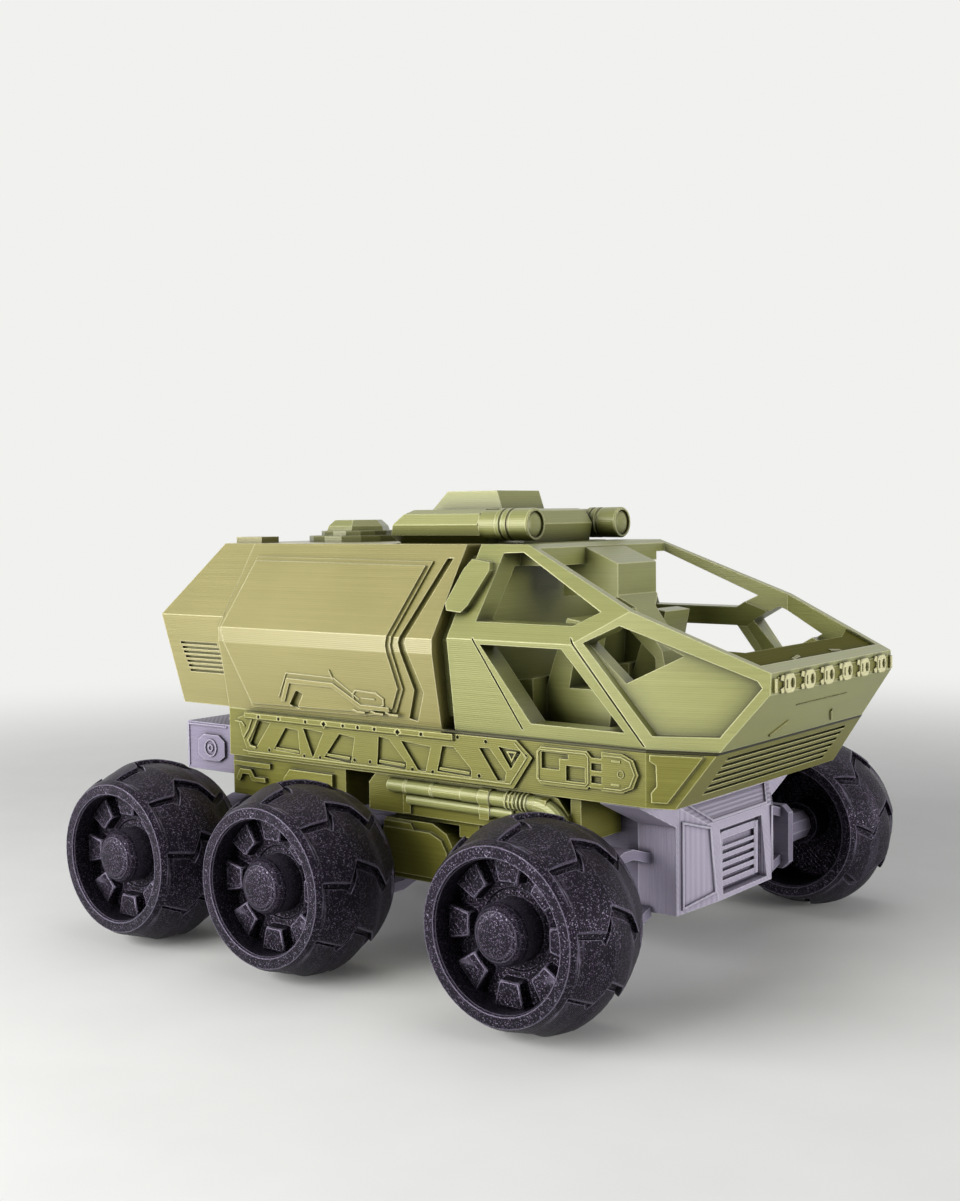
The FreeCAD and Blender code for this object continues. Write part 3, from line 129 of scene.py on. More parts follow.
# Camera: place in mm, turn from looking along +Y, then down and roll in degrees.
EYE = Vector((253.17, -338.18, 116.98)) * MM
YAW, DOWN, ROLL = (math.radians(a) for a in (38.04, 3.37, -0.69))
ahead = Vector((-math.sin(YAW) * math.cos(DOWN), math.cos(YAW) * math.cos(DOWN), -math.sin(DOWN)))
right = Vector((math.cos(YAW), math.sin(YAW), 0))
above = right.cross(ahead)
right, above = (right * math.cos(ROLL) + above * math.sin(ROLL),
                above * math.cos(ROLL) - right * math.sin(ROLL))
camera = bpy.data.objects.new("camera", bpy.data.cameras.new("camera"))
camera.data.lens = 56.45
camera.data.sensor_width = 36
camera.data.sensor_fit = "HORIZONTAL"
camera.data.clip_start = 0.01
camera.matrix_world = Matrix.Translation(EYE) @ Matrix((right, above, -ahead)).transposed().to_4x4()
scene.collection.objects.link(camera)
scene.camera = camera

# Lamps: place and aim in mm, width and height in mm, power in watts.
LAMPS = (
    ("key_lamp", (-230, -580, 200), (0, 0, 60), 600, 440, 6.9),
    ("front_lamp", (620, 20, 120), (50, 0, 35), 420, 220, 2.3),
    ("top_lamp", (60, 60, 620), (0, 0, 60), 420, 420, 0.6),
)
for name, place, aim, wide, high, power in LAMPS:
    lamp = bpy.data.objects.new(name, bpy.data.lights.new(name, "AREA"))
    lamp.data.shape = "RECTANGLE"
    lamp.data.size = wide * MM
    lamp.data.size_y = high * MM
    lamp.data.energy = power
    lamp.location = Vector(place) * MM
    lamp.rotation_euler = (Vector(place) - Vector(aim)).to_track_quat("Z", "Y").to_euler()
    scene.collection.objects.link(lamp)

# --- Upper body: green silk PLA -------------------------------------------------------------
# Habitat, tail, side panels, cabin, hull and roof gear are printed in silk PLA, a pearly plastic
# laid down in layers of about 0.2 mm. They are drawn 0.5 mm apart here, and the infill lines
# wider still, so that they show.
LAYER = 0.5 * MM
WAVE = math.pi / 10  # a Wave texture's period at scale 1, in metres
FLAT_TOP = 0.985  # how squarely a face lies across the layers before it shows infill instead


def printed(name, shades, roughness, relief, axis="Z", sheen=0.5, nook=3.5, skin=0.0, coarse=1):
    """Plastic laid in layers across one axis: contours on slopes, infill lines on flat tops.

    Its four shades are a darker and a paler body colour, then the colour of the painted highlight
    on edges, which also tints the sheen, and that of the painted shade in nooks, which reaches out
    for as many mm as nook says.
    """
    material, tree, shader = new_material(name)
    place = add(tree, "TexCoord").outputs["Object"]
    surface = add(tree, "NewGeometry")
    layers = add(tree, "TexWave", {"Vector": place}, bands_direction=axis, wave_profile="SIN",
                 Scale=WAVE / LAYER / coarse, Distortion=0.1, Detail=0.0)
    infill = add(tree, "TexWave", {"Vector": place}, bands_direction="DIAGONAL",
                 wave_profile="SIN", Scale=WAVE / LAYER / 1.7, Distortion=0.1, Detail=0.0)
    facing = add(tree, "SeparateXYZ", {0: surface.outputs["True Normal"]})
    level = add(tree, "Math", {0: facing.outputs[axis]}, operation="ABSOLUTE")
    flat = add(tree, "Math", {0: level.outputs[0]}, operation="GREATER_THAN")
    flat.inputs[1].default_value = FLAT_TOP
    lines = add(tree, "Mix", {"Factor": flat.outputs[0], "A": layers.outputs["Fac"],
                              "B": infill.outputs["Fac"]})
    # each layer takes its own shade and gloss: noise squeezed flat, with wide clouds over it
    squeeze = add(tree, "Mapping", {"Vector": place},
                  Scale=[2400.0 if letter == axis else 18.0 for letter in "XYZ"])
    streaks = add(tree, "TexNoise", {"Vector": squeeze.outputs[0]}, Scale=1.0, Detail=1.0)
    cloud = add(tree, "TexNoise", {"Vector": place}, Scale=38.0, Detail=3.0)
    blend = add(tree, "Mix", {"A": streaks.outputs["Fac"], "B": cloud.outputs["Fac"]}, Factor=0.45)
    ramp = add(tree, "ValToRGB", {"Fac": blend.outputs["Result"]})
    for stop, where, shade in zip(ramp.color_ramp.elements, (0.15, 0.85), shades):
        stop.position = where
        stop.color = linear(shade)
    # molten blobs leave every outer corner a little rounder; the paler edges, inner ones too, are a
    # painted highlight
    rounded = add(tree, "Bevel", Radius=0.42 * MM, samples=4)
    turn = add(tree, "VectorMath", {0: rounded.outputs[0], 1: surface.outputs["True Normal"]},
               operation="DOT_PRODUCT")
    edge = add(tree, "MapRange", {"Value": turn.outputs["Value"]}, From_Min=0.997, From_Max=0.95,
               To_Max=0.85)
    paler = add(tree, "Mix", {"Factor": edge.outputs[0], "A": ramp.outputs["Color"]},
                data_type="RGBA", B=linear(shades[2]))
    # painted shade: ambient occlusion darkens nooks and the gaps between pieces towards the nook colour
    corner = add(tree, "AmbientOcclusion", Distance=nook * MM, samples=6)
    painted_nook_shade = add(tree, "MapRange", {"Value": corner.outputs["AO"]}, From_Min=0.45, From_Max=0.97)
    shaded = add(tree, "Mix", {"Factor": painted_nook_shade.outputs[0], "B": paler.outputs["Result"]},
                 data_type="RGBA", A=linear(shades[3]))
    tree.links.new(shaded.outputs["Result"], shader.inputs["Base Color"])
    gloss = add(tree, "MapRange", {"Value": blend.outputs["Result"]}, From_Min=0.3, From_Max=0.7,
                To_Min=roughness - 0.07, To_Max=roughness + 0.07)
    tree.links.new(gloss.outputs[0], shader.inputs["Roughness"])
    shader.inputs["Specular IOR Level"].default_value = sheen
    shader.inputs["Specular Tint"].default_value = linear(shades[2])
    shader.inputs["Coat Weight"].default_value = skin
    shader.inputs["Coat Roughness"].default_value = 0.3
    bump = add(tree, "Bump", {"Height": lines.outputs["Result"], "Normal": rounded.outputs[0]},
               Strength=relief, Distance=0.1 * MM)
    tree.links.new(bump.outputs[0], shader.inputs["Normal"])
    return material, tree, shader


# The greens below are copies of one silk PLA, with light and shade painted into their base colours.
# Silk PLA on the habitat: the palest, its paler base a painted light, with a beige pearl sheen
# where it mirrors the light.
green, *_ = printed("silk_pla_printed_green_painted_light", ("#736C39", "#87804D", "#DAD3AA", "#403F0F"),
                   0.4, 0.22, sheen=0.9, skin=0.6)
# Silk PLA on the cabin and roof gear: greener, with less of the sheen.
leaf, *_ = printed("silk_pla_printed_leaf_green", ("#71733F", "#888A54", "#D5D3A6", "#26270A"),
                   0.38, 0.25, sheen=0.7, nook=6, skin=0.4)
# Silk PLA on the hull and its tanks, turned from the light: painted shade makes it deep olive, with
# small highlights.
olive, tree, shader = printed("silk_pla_printed_olive_painted_shade", ("#5B5922", "#716F31", "#D6D39A", "#191A03"),
                              0.36, 0.28, sheen=0.45, nook=5, skin=0.12)

# the cabin stands off the hull by a hair; the shade in that gap is painted as a black line along the
# hull's upper edge
SEAM_HEIGHT, SEAM_HALF, SEAM_START = 61.45 * MM, 0.4 * MM, 11 * MM
place = add(tree, "SeparateXYZ", {0: add(tree, "TexCoord").outputs["Object"]})
line = add(tree, "Math", {0: place.outputs["Z"]}, operation="COMPARE")
line.inputs[1].default_value = SEAM_HEIGHT
line.inputs[2].default_value = SEAM_HALF
ahead_of_gap = add(tree, "Math", {0: place.outputs["X"]}, operation="GREATER_THAN")
ahead_of_gap.inputs[1].default_value = SEAM_START
both = add(tree, "Math", {0: line.outputs[0], 1: ahead_of_gap.outputs[0]}, operation="MULTIPLY")
under = shader.inputs["Base Color"].links[0].from_socket
painted_gap_shade = add(tree, "Mix", {"Factor": both.outputs[0], "A": under}, data_type="RGBA", B=linear("#0B0B03"))

# lamp blocks stand proud of their bar and catch the light: a painted highlight makes them paler than it
LAMP_FRONT = 97.9 * MM
lamps = add(tree, "Math", {0: place.outputs["X"]}, operation="GREATER_THAN")
lamps.inputs[1].default_value = LAMP_FRONT
painted_lamp_highlight = add(tree, "Mix", {"Factor": lamps.outputs[0], "A": painted_gap_shade.outputs["Result"]}, data_type="RGBA",
             B=linear("#C3BF93"))
tree.links.new(painted_lamp_highlight.outputs["Result"], shader.inputs["Base Color"])

# Silk PLA on the hood, which lies flat and so shows infill lines and hardly any sheen; its deeper base
# is painted shade, as the hood faces up, away from the lamps.
dark, *_ = printed("matt_pla_printed_olive_painted_shade", ("#43420C", "#525014", "#B4B178", "#151602"),
                   0.6, 0.3, sheen=0.06)

GREEN_NODES = ["habitat", "habitat_tail", "side_panel_right", "side_panel_left"]
LEAF_NODES = ["cabin_shell", "overhead_console", "seat_right", "seat_left", "roof_fairing",
              "instrument_case", "roof_tube_right", "roof_tube_left", "roof_hatch"]
POD_NODES = [f"{pod}_{side}" for pod in ("upper_pod", "lower_tank", "rear_pod")
             for side in ("right", "left")]
OLIVE_NODES = ["lower_hull", "lamp_strip"] + POD_NODES


def dress(names, material):
    """Give CAD nodes one material."""
    for name in names:
        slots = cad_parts[name].data.materials
        slots.clear()
        slots.append(material)


dress(GREEN_NODES, green)
dress(LEAF_NODES, leaf)
dress(OLIVE_NODES, olive)
dress(["hood"], dark)

# --- Girder trim on the hull's sides ------------------------------------------------------------
# Small raised ribs and sunk bolt holes, part of the same green print as the hull: a nozzle width
# or two wide and a few layers high. The right side is drawn and mirrored to the left.


def facet(origin, along_u, along_v):
    """A flat face: gives the point at (u, v), raised by h; it faces along u x v."""
    origin, along_u, along_v = Vector(origin), Vector(along_u), Vector(along_v)
    out = along_u.cross(along_v).normalized()
    return lambda u, v, h: origin + along_u * u + along_v * v + out * h


def rib(mesh, face, path, width, height, closed=False):
    """Raised line along a path on a face: flat top, sloping sides."""
    count = len(path)
    rings = []
    for i, point in enumerate(path):
        here = Vector(point)
        coming = here - Vector(path[i - 1]) if closed or i else None
        going = Vector(path[(i + 1) % count]) - here if closed or i < count - 1 else None
        coming = (coming or going).normalized()
        going = (going or coming).normalized()
        across = Vector((-(coming.y + going.y), coming.x + going.x)).normalized()
        across /= max(0.5, across.dot(Vector((-going.y, going.x))))
        ring = []
        for share, level in ((-0.5, -0.1), (-0.3, height), (0.3, height), (0.5, -0.1)):
            place = here + across * share * width
            ring.append(mesh.verts.new(face(place.x, place.y, level)))
        rings.append(ring)
    for near, far in zip(rings, rings[1:] + rings[:1] if closed else rings[1:]):
        for k in range(4):
            mesh.faces.new((near[k], near[(k + 1) % 4], far[(k + 1) % 4], far[k]))
    if not closed:
        mesh.faces.new(rings[0])
        mesh.faces.new(rings[-1])


def round_path(u, v, radius, sides=20):
    """Points round a circle on a face."""
    return [(u + radius * math.cos(k * math.tau / sides), v + radius * math.sin(k * math.tau / sides))
            for k in range(sides)]


def lathe(mesh, profile, columns, shape=None):
    """Add a closed surface turned about Y from (radius, place) pairs; shape bends its points."""
    rings = []
    for radius, place in profile:
        ring = []
        for column in columns:
            r, y, angle = shape(radius, place, column) if shape else (radius, place, column)
            ring.append(mesh.verts.new((r * math.sin(angle), y, r * math.cos(angle))))
        rings.append(ring)
    count = len(columns)
    for near, far in zip(rings, rings[1:] + rings[:1]):
        for i in range(count):
            mesh.faces.new((near[i], near[(i + 1) % count], far[(i + 1) % count], far[i]))


def pit(mesh, face, u, v, radius, sides=10):
    """A sunk hole: a low rim round a floor that takes the second material, whose darkness is painted
    shade.
    """
    rings = []
    for share, level in ((1.3, -0.05), (1.12, 0.1), (0.9, 0.1), (0.8, 0.03)):
        rings.append([mesh.verts.new(face(u + radius * share * math.cos(k * math.tau / sides),
                                          v + radius * share * math.sin(k * math.tau / sides),
                                          level)) for k in range(sides)])
    for near, far in zip(rings, rings[1:]):
        for k in range(sides):
            mesh.faces.new((near[k], near[(k + 1) % sides], far[(k + 1) % sides], far[k]))
    mesh.faces.new(rings[0])
    mesh.faces.new(rings[-1]).material_index = 1


def finish_mesh(mesh, name, sharp=35):
    """Mesh in mm to mesh data in metres, smooth but for edges over the angle called sharp."""
    bmesh.ops.remove_doubles(mesh, verts=mesh.verts, dist=0.001)
    bmesh.ops.recalc_face_normals(mesh, faces=mesh.faces)
    bmesh.ops.scale(mesh, vec=(MM, MM, MM), verts=mesh.verts)
    data = bpy.data.meshes.new(name)
    mesh.to_mesh(data)
    mesh.free()
    data.shade_smooth()
    data.set_sharp_from_angle(angle=math.radians(sharp))
    return data


def mirrored(data, name):
    """Left-hand copy of a right-hand mesh."""
    other = data.copy()
    other.name = name
    other.transform(Matrix.Scale(-1, 4, (0, 1, 0)))
    other.flip_normals()
    return other


def trim(name, mesh, materials, both=True):
    """Keep a mesh of fixed trim, and its mirror image on the left."""
    data = finish_mesh(mesh, name, 20)
    for material in materials:
        data.materials.append(material)
    kept = {f"{name}_right": data, f"{name}_left": mirrored(data, name)} if both else {name: data}
    for piece_name, piece_data in kept.items():
        piece = bpy.data.objects.new(piece_name, piece_data)
        scene.collection.objects.link(piece)
        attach(piece, "root")


# Silk PLA at the bottom of a bolt hole: the same plastic in deep shade, nearly black.
hole, *_ = printed("silk_pla_in_holes", ("#0D0C03", "#131204", "#1B1A06", "#080802"), 0.7, 0.2)
SIDE = ((1, 0, 0), (0, 0, 1))  # u runs forward and v up, so the face looks to the right
RAIL_HEIGHT = 0.4

mesh = bmesh.new()
POCKETS, GIRDER, RAIL = (facet((0, y, 0), *SIDE) for y in (-44, -44.9, -45.35))
RAIL_FRONT = facet((0, -45.35 - RAIL_HEIGHT, 0), *SIDE)

# the rail along the top, with its round and square holes
rib(mesh, RAIL, ((-60.9, 60.3), (14.9, 60.3)), 2.2, RAIL_HEIGHT)
for x in (-55.2, -47.2, -36.8, -22.8, -17.4, -11.5, 4.6):
    pit(mesh, RAIL_FRONT, x, 60.2, 0.62)
for x in (-29.9, -3.4):
    pit(mesh, RAIL_FRONT, x, 60.1, 1.0, 4)

# bolt holes, then the border of the girder and the triangle at its tip
for x, z in ((16, 60.3), (25, 59.9), (37.3, 57.4), (-51.9, 51), (-38.2, 50.6), (-32.2, 50.7),
             (-19.4, 51.2), (-13.9, 51.2), (0.9, 50.6), (7.7, 50.6), (22.8, 51.1)):
    pit(mesh, GIRDER, x, z, 0.6)
rib(mesh, GIRDER, ((-62.4, 50.2), (-59.8, 50.0), (32.6, 50.1), (37.6, 57), (34, 60.3)), 0.5, 0.25)
rib(mesh, GIRDER, ((31.9, 58), (34.4, 58), (33.2, 55.9)), 0.6, 0.3, True)

# the lidded plate and the round-ended plate ahead of the girder
rib(mesh, GIRDER, ((41.6, 51.9), (54.9, 51.9), (55.6, 52.6), (55.6, 58.7), (54.9, 59.5), (41.8, 59.5),
                   (41.1, 58.8), (41.1, 52.4)), 0.4, 0.25, True)
rib(mesh, GIRDER, ((59.9, 51.9), (64.8, 51.9), (67.2, 52.9), (68.5, 55.8), (67.2, 58.7),
                   (64.8, 59.6), (59.9, 59.6)), 0.45, 0.3)
rib(mesh, GIRDER, round_path(64.7, 55.6, 0.9, 8), 0.35, 0.2, True)
for x, z in ((62.2, 58.5), (62, 52.9)):
    rib(mesh, GIRDER, ((x, z), (x + 2.4, z)), 0.8, 0.18)

# bent struts at the girder's rear end, and a bar along the foot of four pockets
rib(mesh, GIRDER, ((-55.9, 60.2), (-57.6, 56.9), (-60.2, 53.1), (-59.3, 51.6), (-57, 51.3)), 0.8, 0.4)
rib(mesh, GIRDER, ((-58.4, 59.6), (-60, 56.3), (-61.9, 53.9)), 0.7, 0.35)
rib(mesh, GIRDER, ((-65.4, 58.4), (-62.6, 58.2), (-61.5, 57)), 0.6, 0.35)
for start, end in ((-49.6, -40.4), (-30, -21.4), (-10.8, -2), (9.8, 19.6)):
    rib(mesh, POCKETS, ((start, 51.7), (end, 51.4)), 1.1, 0.7)
trim("girder_trim", mesh, (olive, hole))

# --- Trim of the side panels --------------------------------------------------------------------
# A looped rib, a long bent line and short slashes, raised on each panel's lower facet and printed
# with it in the habitat's silk PLA. The facet leans out as it rises from the hull.
LEAN = 3.6 / 19.4
FOOT_Y, FOOT_Z = -45.3, 61.8
mesh = bmesh.new()
panel = facet((0, FOOT_Y + FOOT_Z * LEAN, 0), (1, 0, 0), (0, -LEAN, 1))
rib(mesh, panel, ((-17.8, 67.2), (-17.8, 69.4), (-16.8, 70.3), (-9.6, 70), (-7.2, 68.6), (-7.4, 67),
                  (-8.6, 66.3), (-16.6, 66.3)), 0.7, 0.4, True)
rib(mesh, panel, ((-15.2, 68.4), (-10.2, 68.3)), 0.5, 0.3)
rib(mesh, panel, ((-46.2, 66.6), (-41.9, 73.6), (-24.1, 73.2), (-15.8, 67.9)), 0.5, 0.3)
rib(mesh, panel, ((-25.4, 75.3), (-24.3, 72.8)), 0.6, 0.45)
for x in (-18.6, -12.2, -7.0):
    rib(mesh, panel, ((x, 65.1), (x + 1.4, 64.5), (x + 4.2, 64.4)), 0.8, 0.35)
trim("panel_trim", mesh, (green,))

# --- Trim of the nose, hood and lamps -----------------------------------------------------------
# Slashes and a thin line on the sloping nose, a bent mark on the hood, and a post at each end of
# the lamp strip: raised lines in olive PLA, printed with the pieces that they stand on.
FRONT = 97.4  # x of the edge between nose, lamps and hood
NOSE_LEAN, NOSE_TOP = 0.767, 75.1
HOOD_LEAN, HOOD_EDGE = 2.385, 79.2
mesh = bmesh.new()
nose = facet((FRONT - NOSE_LEAN * NOSE_TOP, 0, 0), (0, 1, 0), (NOSE_LEAN, 0, 1))
rib(mesh, nose, ((-17, 63.3), (-12, 66.3)), 0.8, 0.4)
rib(mesh, nose, ((-14, 70.6), (14, 70.6)), 0.35, 0.15)
hood = facet((FRONT + HOOD_LEAN * HOOD_EDGE, 0, 0), (0, 1, 0), (-HOOD_LEAN, 0, 1))
rib(mesh, hood, ((-13.3, 80.6), (-12.9, 81.2), (-8.6, 81.5)), 0.5, 0.3)
post = facet((FRONT, 0, 0), (0, 1, 0), (0, 0, 1))
rib(mesh, post, ((-32.2, 75.5), (-32.2, 78.7)), 1.1, 0.8)
trim("nose_trim", mesh, (olive,))

# --- Roof tubes ---------------------------------------------------------------------------------
# Two round tubes like lamps beside the roof fairing, printed in silk PLA: a barrel with grooves
# between its bands and a lens in its mouth, as long and thick as the plain one that it replaces.
TUBE_Y, TUBE_Z = 20.8, 113.6
TUBE = ((0.01, 7.4), (3.9, 7.4), (3.9, 12.8), (4.3, 13.1), (4.3, 14.3), (3.9, 14.5), (3.9, 15.0),
        (4.3, 15.2), (4.3, 16.6), (3.9, 16.8), (3.9, 17.4), (4.25, 17.6), (4.3, 23.2), (4.05, 23.6),
        (3.55, 23.6), (3.45, 22.7), (3.15, 22.7), (3.05, 23.1), (2.4, 23.35), (1.4, 23.5),
        (0.01, 23.55))


def turned(name, profile, y, z, material):
    """A piece turned about a line along the rover; profile pairs are radius and X in mm."""
    mesh = bmesh.new()
    lathe(mesh, profile, [k * math.tau / 40 for k in range(40)])
    bmesh.ops.rotate(mesh, verts=mesh.verts, matrix=Matrix.Rotation(-math.pi / 2, 3, "Z"))
    bmesh.ops.translate(mesh, verts=mesh.verts, vec=(0, y, z))
    data = finish_mesh(mesh, name, 32)
    data.materials.append(material)
    piece = bpy.data.objects.new(name, data)
    scene.collection.objects.link(piece)
    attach(piece, "root")
    return piece


for side, sign in (("right", -1), ("left", 1)):
    tube = turned(f"roof_tube_printed_{side}", TUBE, sign * TUBE_Y, TUBE_Z, leaf)
    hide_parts(f"roof_tube_{side}")

# --- Pipes on the upper pods --------------------------------------------------------------------
# Two pipes along each pod, printed with it in silk PLA: the upper one with collars, ribbed bellows
# and an elbow that turns down at its front end. They are round skins over flat-sided pipes.
PIPE_Y, MAIN_Z, THIN_Z = 44, 45.8, 42.6
ELBOW_RADIUS = 1.95
BELLOWS_START, BELLOWS_PITCH, BELLOWS = 31.5, 1.2, 6
MAIN = [(0.01, -8), (1.3, -8), (1.85, -7.4), (1.85, -2), (2, -1.8), (2, -1.2), (1.85, -1), (1.85, 7),
        (2, 7.2), (2, 7.8), (1.8, 8), (1.8, 17), (1.95, 17.2), (1.95, 22.8), (2.35, 23), (2.35, 26.4),
        (1.95, 26.6), (1.95, 31)]
for k in range(BELLOWS):
    fold = BELLOWS_START + BELLOWS_PITCH * k
    MAIN += [(2.45, fold), (2.45, fold + 0.3), (1.95, fold + 0.6)]
MAIN += [(1.95, 40), (0.01, 40)]
THIN = [(0.01, -1.4), (1.1, -1.4), (1.45, -1), (1.45, 22.9), (1.8, 23.1), (1.8, 26.3), (1.45, 26.5),
        (1.45, 33), (1.1, 33.4), (0.01, 33.4)]
# the elbow's two ends, each with the handles before and after it, as x and z
ELBOW = (((39.5, 45.8), (36, 45.8), (44.2, 45.8)), ((47.6, 39.2), (47.6, 43.4), (47.6, 36)))
for side, sign in (("right", -1), ("left", 1)):
    turned(f"pod_pipe_{side}", MAIN, sign * PIPE_Y, MAIN_Z, leaf)
    turned(f"pod_thin_pipe_{side}", THIN, sign * PIPE_Y, THIN_Z, leaf)
    path = bpy.data.curves.new(f"elbow_{side}", "CURVE")
    path.dimensions = "3D"
    path.bevel_depth = ELBOW_RADIUS * MM
    path.bevel_resolution = 5
    path.use_fill_caps = True
    path.materials.append(leaf)
    bend = path.splines.new("BEZIER")
    bend.bezier_points.add(1)
    for point, spots in zip(bend.bezier_points, ELBOW):
        point.co, point.handle_left, point.handle_right = (
            Vector((x, sign * PIPE_Y, z)) * MM for x, z in spots)
    elbow = bpy.data.objects.new(f"pod_elbow_{side}", path)
    scene.collection.objects.link(elbow)
    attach(elbow, "root")

# --- Pods and tanks along the hull --------------------------------------------------------------
# Closed boxes and tanks under the girder, printed in olive silk PLA on the hull's sides. Their
# corners are well rounded.
ROUNDING = 0.8
for name in POD_NODES:
    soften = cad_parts[name].modifiers.new("rounded", "BEVEL")
    soften.width = ROUNDING * MM
    soften.segments = 3
    soften.angle_limit = math.radians(25)
    soften.harden_normals = False

# --- Chassis: lavender-grey PLA -----------------------------------------------------------------
# The chassis box, rear box, knuckles and arms are printed in one plain colour and assembled
# under the hull. Nothing on them moves but the wheels.

# Satin PLA: an even lavender grey with soft highlights and plain layer lines.
grey, *_ = printed("satin_pla_printed_grey", ("#746D80", "#868091", "#C6C0CF", "#2F2C36"),
                   0.48, 0.5, nook=6)
CORNERS = [f"{axle}_{side}" for axle in ("front", "middle", "rear") for side in ("right", "left")]
dress(["chassis_box", "rear_box"], grey)
dress([f"{piece}_{corner}" for piece in ("knuckle", "arms") for corner in CORNERS], grey)

# --- Trim of the rear box -----------------------------------------------------------------------
# A border along two edges and two rings on each side, raised on the box and printed with it in
# grey PLA. The rings stand on an oval boss.
mesh = bmesh.new()
border = facet((0, -39, 0), *SIDE)
rib(mesh, border, ((-92.1, 42.3), (-92.1, 54.8), (-75.5, 54.8)), 0.7, 0.3)
badge = facet((0, -39.9, 0), *SIDE)
for radius in (2.4, 0.9):
    rib(mesh, badge, round_path(-81.6, 48.4, radius, 14), 0.7, 0.4, True)
trim("rear_box_trim", mesh, (grey,))

# --- Front bulkhead -----------------------------------------------------------------------------
# A prow with sloping cheeks and a brow round a slatted panel. A raised lip frames each cheek and
# the brow, and a bar closes each side of the slats, all printed with the bulkhead in grey PLA.

# Satin PLA printed face up, so that its layers show as stripes on the sloping faces. They are
# drawn 0.75 mm apart here, so that they show.
# Its base is a paler copy of the chassis grey: painted light, where the bulkhead faces the front lamp.
fore, *_ = printed("satin_pla_printed_face_up_painted_light", ("#9A93A6", "#ACA5B7", "#DDD8E4", "#4B4554"),
                   0.45, 1.0, "X", nook=1.5, coarse=1.5)
dress(["front_bulkhead"], fore)
mesh = bmesh.new()
cheek = facet((67.5, -23.8, 0), (0.503, 0.864, 0), (0, 0, 1))
rib(mesh, cheek, ((1.2, 19.7), (10.3, 22.9), (8.9, 38.9), (1.2, 40.8)), 0.8, 0.5, True)
brow = facet((71.7, 0, 39.8), (0, 1, 0), (-0.643, 0, 0.766))
rib(mesh, brow, ((0, 0.5), (-14.0, 0.5), (-19.6, 5.9), (0, 5.9)), 0.8, 0.5)
bars = facet((71.1, 0, 0), (0, 1, 0), (0, 0, 1))
rib(mesh, bars, ((-9.4, 22.8), (-9.4, 36.4)), 1.8, 0.3)
trim("bulkhead_lip", mesh, (fore,))

# --- Tyres: black glitter PLA -------------------------------------------------------------------
# Each wheel is a hollow barrel printed in black PLA with purple and silver glitter in it. Nine
# plates lap round its tread like shingles, each with a zigzag lip.
WIDTH, CROWN, WELL = 28.7, 24.8, 17.0  # of the barrel: width, outer radius and bore's radius
PLATES = 9
BULGE = 0.0235  # mm that the tread falls towards its edges, for each square mm from the middle
LIP_REACH, LIP_FADE = 12.6, 0.9  # how far from the middle the plates end, and over what width
STEEPEST, WIDEN = 2.4, 1.4
# a lip's path over the tread: mm along the axle from the outer face, and mm round the wheel
LIP = ((-14.35, 0.0), (-12.4, 0.0), (-6.0, 1.4), (-3.0, -3.9), (3.6, -0.6), (6.8, 4.4),
       (12.4, 1.0), (14.35, 1.0))
# a plate from lip to lip: share of its length, and mm below the crown
STEPS = ((0.0, 1.6), (0.05, 1.6), (0.065, 1.0), (0.2, 0.9), (0.35, 0.78), (0.5, 0.56),
         (0.65, 0.36), (0.8, 0.18), (0.93, 0.03), (0.975, 0.0), (0.995, 0.12))


def along(table, where):
    """Value of a two-column table at a place between its rows."""
    for (a, low), (b, high) in zip(table, table[1:]):
        if where <= b:
            return low + (high - low) * (where - a) / (b - a)
    return table[-1][1]


def tread(radius, place, column):
    """A tread point: the zigzag turns it round the wheel, and its plate lowers it."""
    plate, share, drop = column
    if radius < WELL + 1.5:
        return radius, place, (plate + share) * math.tau / PLATES
    cover = min(1, max(0, (LIP_REACH - abs(place)) / LIP_FADE))
    turn = along(LIP, place) / CROWN
    # the steep runs of the zigzag need more of the round for a groove of the same width
    slope = (along(LIP, place + 0.6) - along(LIP, place - 0.6)) / 1.2
    if share < 0.2:
        share *= 1 + min(STEEPEST, abs(slope) * WIDEN)
    return radius - drop * cover, place, (plate + share) * math.tau / PLATES + turn


half = WIDTH / 2
rows = {row for row, _ in LIP} | {x * 1.1 for x in range(-11, 12)} | {-13.5, 13.5, -12.7, 12.7}
barrel = [(CROWN - BULGE * y * y, y) for y in sorted(rows)]
barrel += [(18.2, half), (WELL + 0.4, half), (WELL, half - 0.6), (WELL, 0.6 - half),
           (WELL + 0.4, -half), (18.2, -half)]
mesh = bmesh.new()
lathe(mesh, barrel, [(plate, share, drop) for plate in range(PLATES) for share, drop in STEPS], tread)
right_tyre = finish_mesh(mesh, "glitter_tyre", 28)

# --- Hubs: black glitter PLA --------------------------------------------------------------------
# A disc deep in each barrel, printed in the same black PLA, with a blunt hub and eight wedge
# pads round it. A bored boss behind the disc runs on the axle and carries the wheel.
DISC = 8.0 - half  # the disc's outer face
BORE, BOSS, HUB, NOSE = 2.6, 6.0, 7.2, -14.3
PADS = 8
PAD_PROUD, PAD_TAPER = 3, 0.86
TURNS = [k * math.tau / 72 for k in range(72)]
mesh = bmesh.new()
lathe(mesh, [(BORE, DISC + 13), (BOSS, DISC + 13), (BOSS, DISC + 4), (WELL + 0.05, DISC + 4),
             (WELL + 0.05, DISC), (9.4, DISC), (9.0, DISC + 0.5), (7.4, DISC + 0.5), (HUB, DISC),
             (HUB, -11.4), (7.0, -12.1), (6.3, -13.2), (5.6, -13.8), (4.8, -14.1), (3.0, -14.25),
             (0.01, NOSE), (0.01, DISC + 0.4), (BORE, DISC + 0.4)], TURNS)
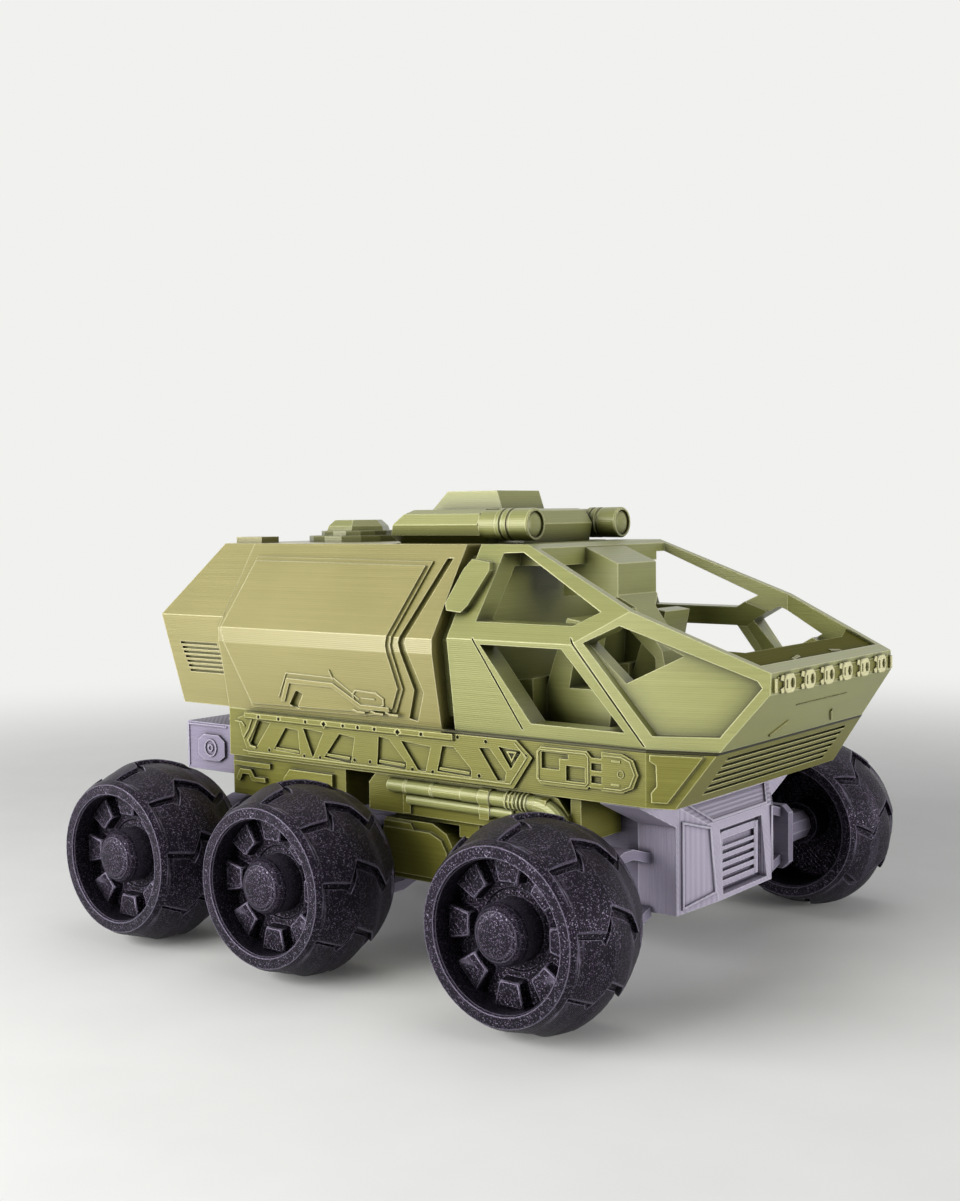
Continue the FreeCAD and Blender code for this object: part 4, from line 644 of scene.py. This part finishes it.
for pad in range(PADS):
    around = Matrix.Rotation(pad * math.tau / PADS, 3, "Y")
    block = []
    for near, width in ((10.6, 6.0), (16.4, 9.4)):
        for side in (-0.5, 0.5):
            for y, taper, shift in ((DISC - PAD_PROUD, PAD_TAPER, 0.4), (DISC + 0.5, 1, 0)):
                corner = Vector((side * width * taper, y, near + shift))
                block.append(mesh.verts.new(around @ corner))
    hull = bmesh.ops.convex_hull(mesh, input=block)
    faces = [part for part in hull["geom"] if isinstance(part, bmesh.types.BMFace)]
    edges = list({edge for face in faces for edge in face.edges})
    bmesh.ops.bevel(mesh, geom=edges, offset=0.3, segments=1, affect="EDGES")
right_hub = finish_mesh(mesh, "glitter_hub")

# Glitter PLA: near-black and satin, laid in layers across the axle, with purple in the thick of it.
black, tree, shader = printed("glitter_pla_printed_black", ("#0A0D0D", "#1B1420", "#8C8498", "#020202"),
                              0.4, 0.5, "Y", sheen=0.25, nook=5)
# the flakes are drawn 0.22 mm across, so that they show: some catch purple and some silver
FLAKE = 0.22 * MM
DULL = 0.76  # share of the flakes that catch no light
place = add(tree, "TexCoord").outputs["Object"]
flakes = add(tree, "TexVoronoi", {"Vector": place}, Scale=1 / FLAKE)
chance = add(tree, "SeparateColor", {0: flakes.outputs["Color"]})
caught = add(tree, "MapRange", {"Value": chance.outputs["Red"]}, From_Min=DULL, From_Max=1.0)
hue = add(tree, "ValToRGB", {"Fac": chance.outputs["Green"]})
for stop, shade in zip(hue.color_ramp.elements, ("#56465F", "#706C78")):
    stop.color = linear(shade)
under = shader.inputs["Base Color"].links[0].from_socket
over = add(tree, "Mix", {"Factor": caught.outputs[0], "A": under, "B": hue.outputs["Color"]},
           data_type="RGBA")
tree.links.new(over.outputs["Result"], shader.inputs["Base Color"])
tree.links.new(caught.outputs[0], shader.inputs["Metallic"])
tilt = add(tree, "Bump", {"Height": chance.outputs["Blue"],
                          "Normal": shader.inputs["Normal"].links[0].from_socket},
           Strength=0.5, Distance=0.12 * MM)
tree.links.new(tilt.outputs[0], shader.inputs["Normal"])
for data in (right_tyre, right_hub):
    data.materials.append(black)

# the left wheels mirror the right ones, and each pair of pieces rides on its wheel's body
meshes = {("tyre", "right"): right_tyre, ("tyre", "left"): mirrored(right_tyre, "glitter_tyre_left"),
          ("hub", "right"): right_hub, ("hub", "left"): mirrored(right_hub, "glitter_hub_left")}
for corner in CORNERS:
    low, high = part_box(f"tyre_{corner}")
    side = corner.split("_")[1]
    for piece in ("tyre", "hub"):
        wheel = bpy.data.objects.new(f"{piece}_printed_{corner}", meshes[piece, side])
        scene.collection.objects.link(wheel)
        wheel.location = (low + high) / 2
        wheel.location.z = low.z + CROWN * MM
        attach(wheel, f"wheel_{corner}")
        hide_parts(f"{piece}_{corner}")
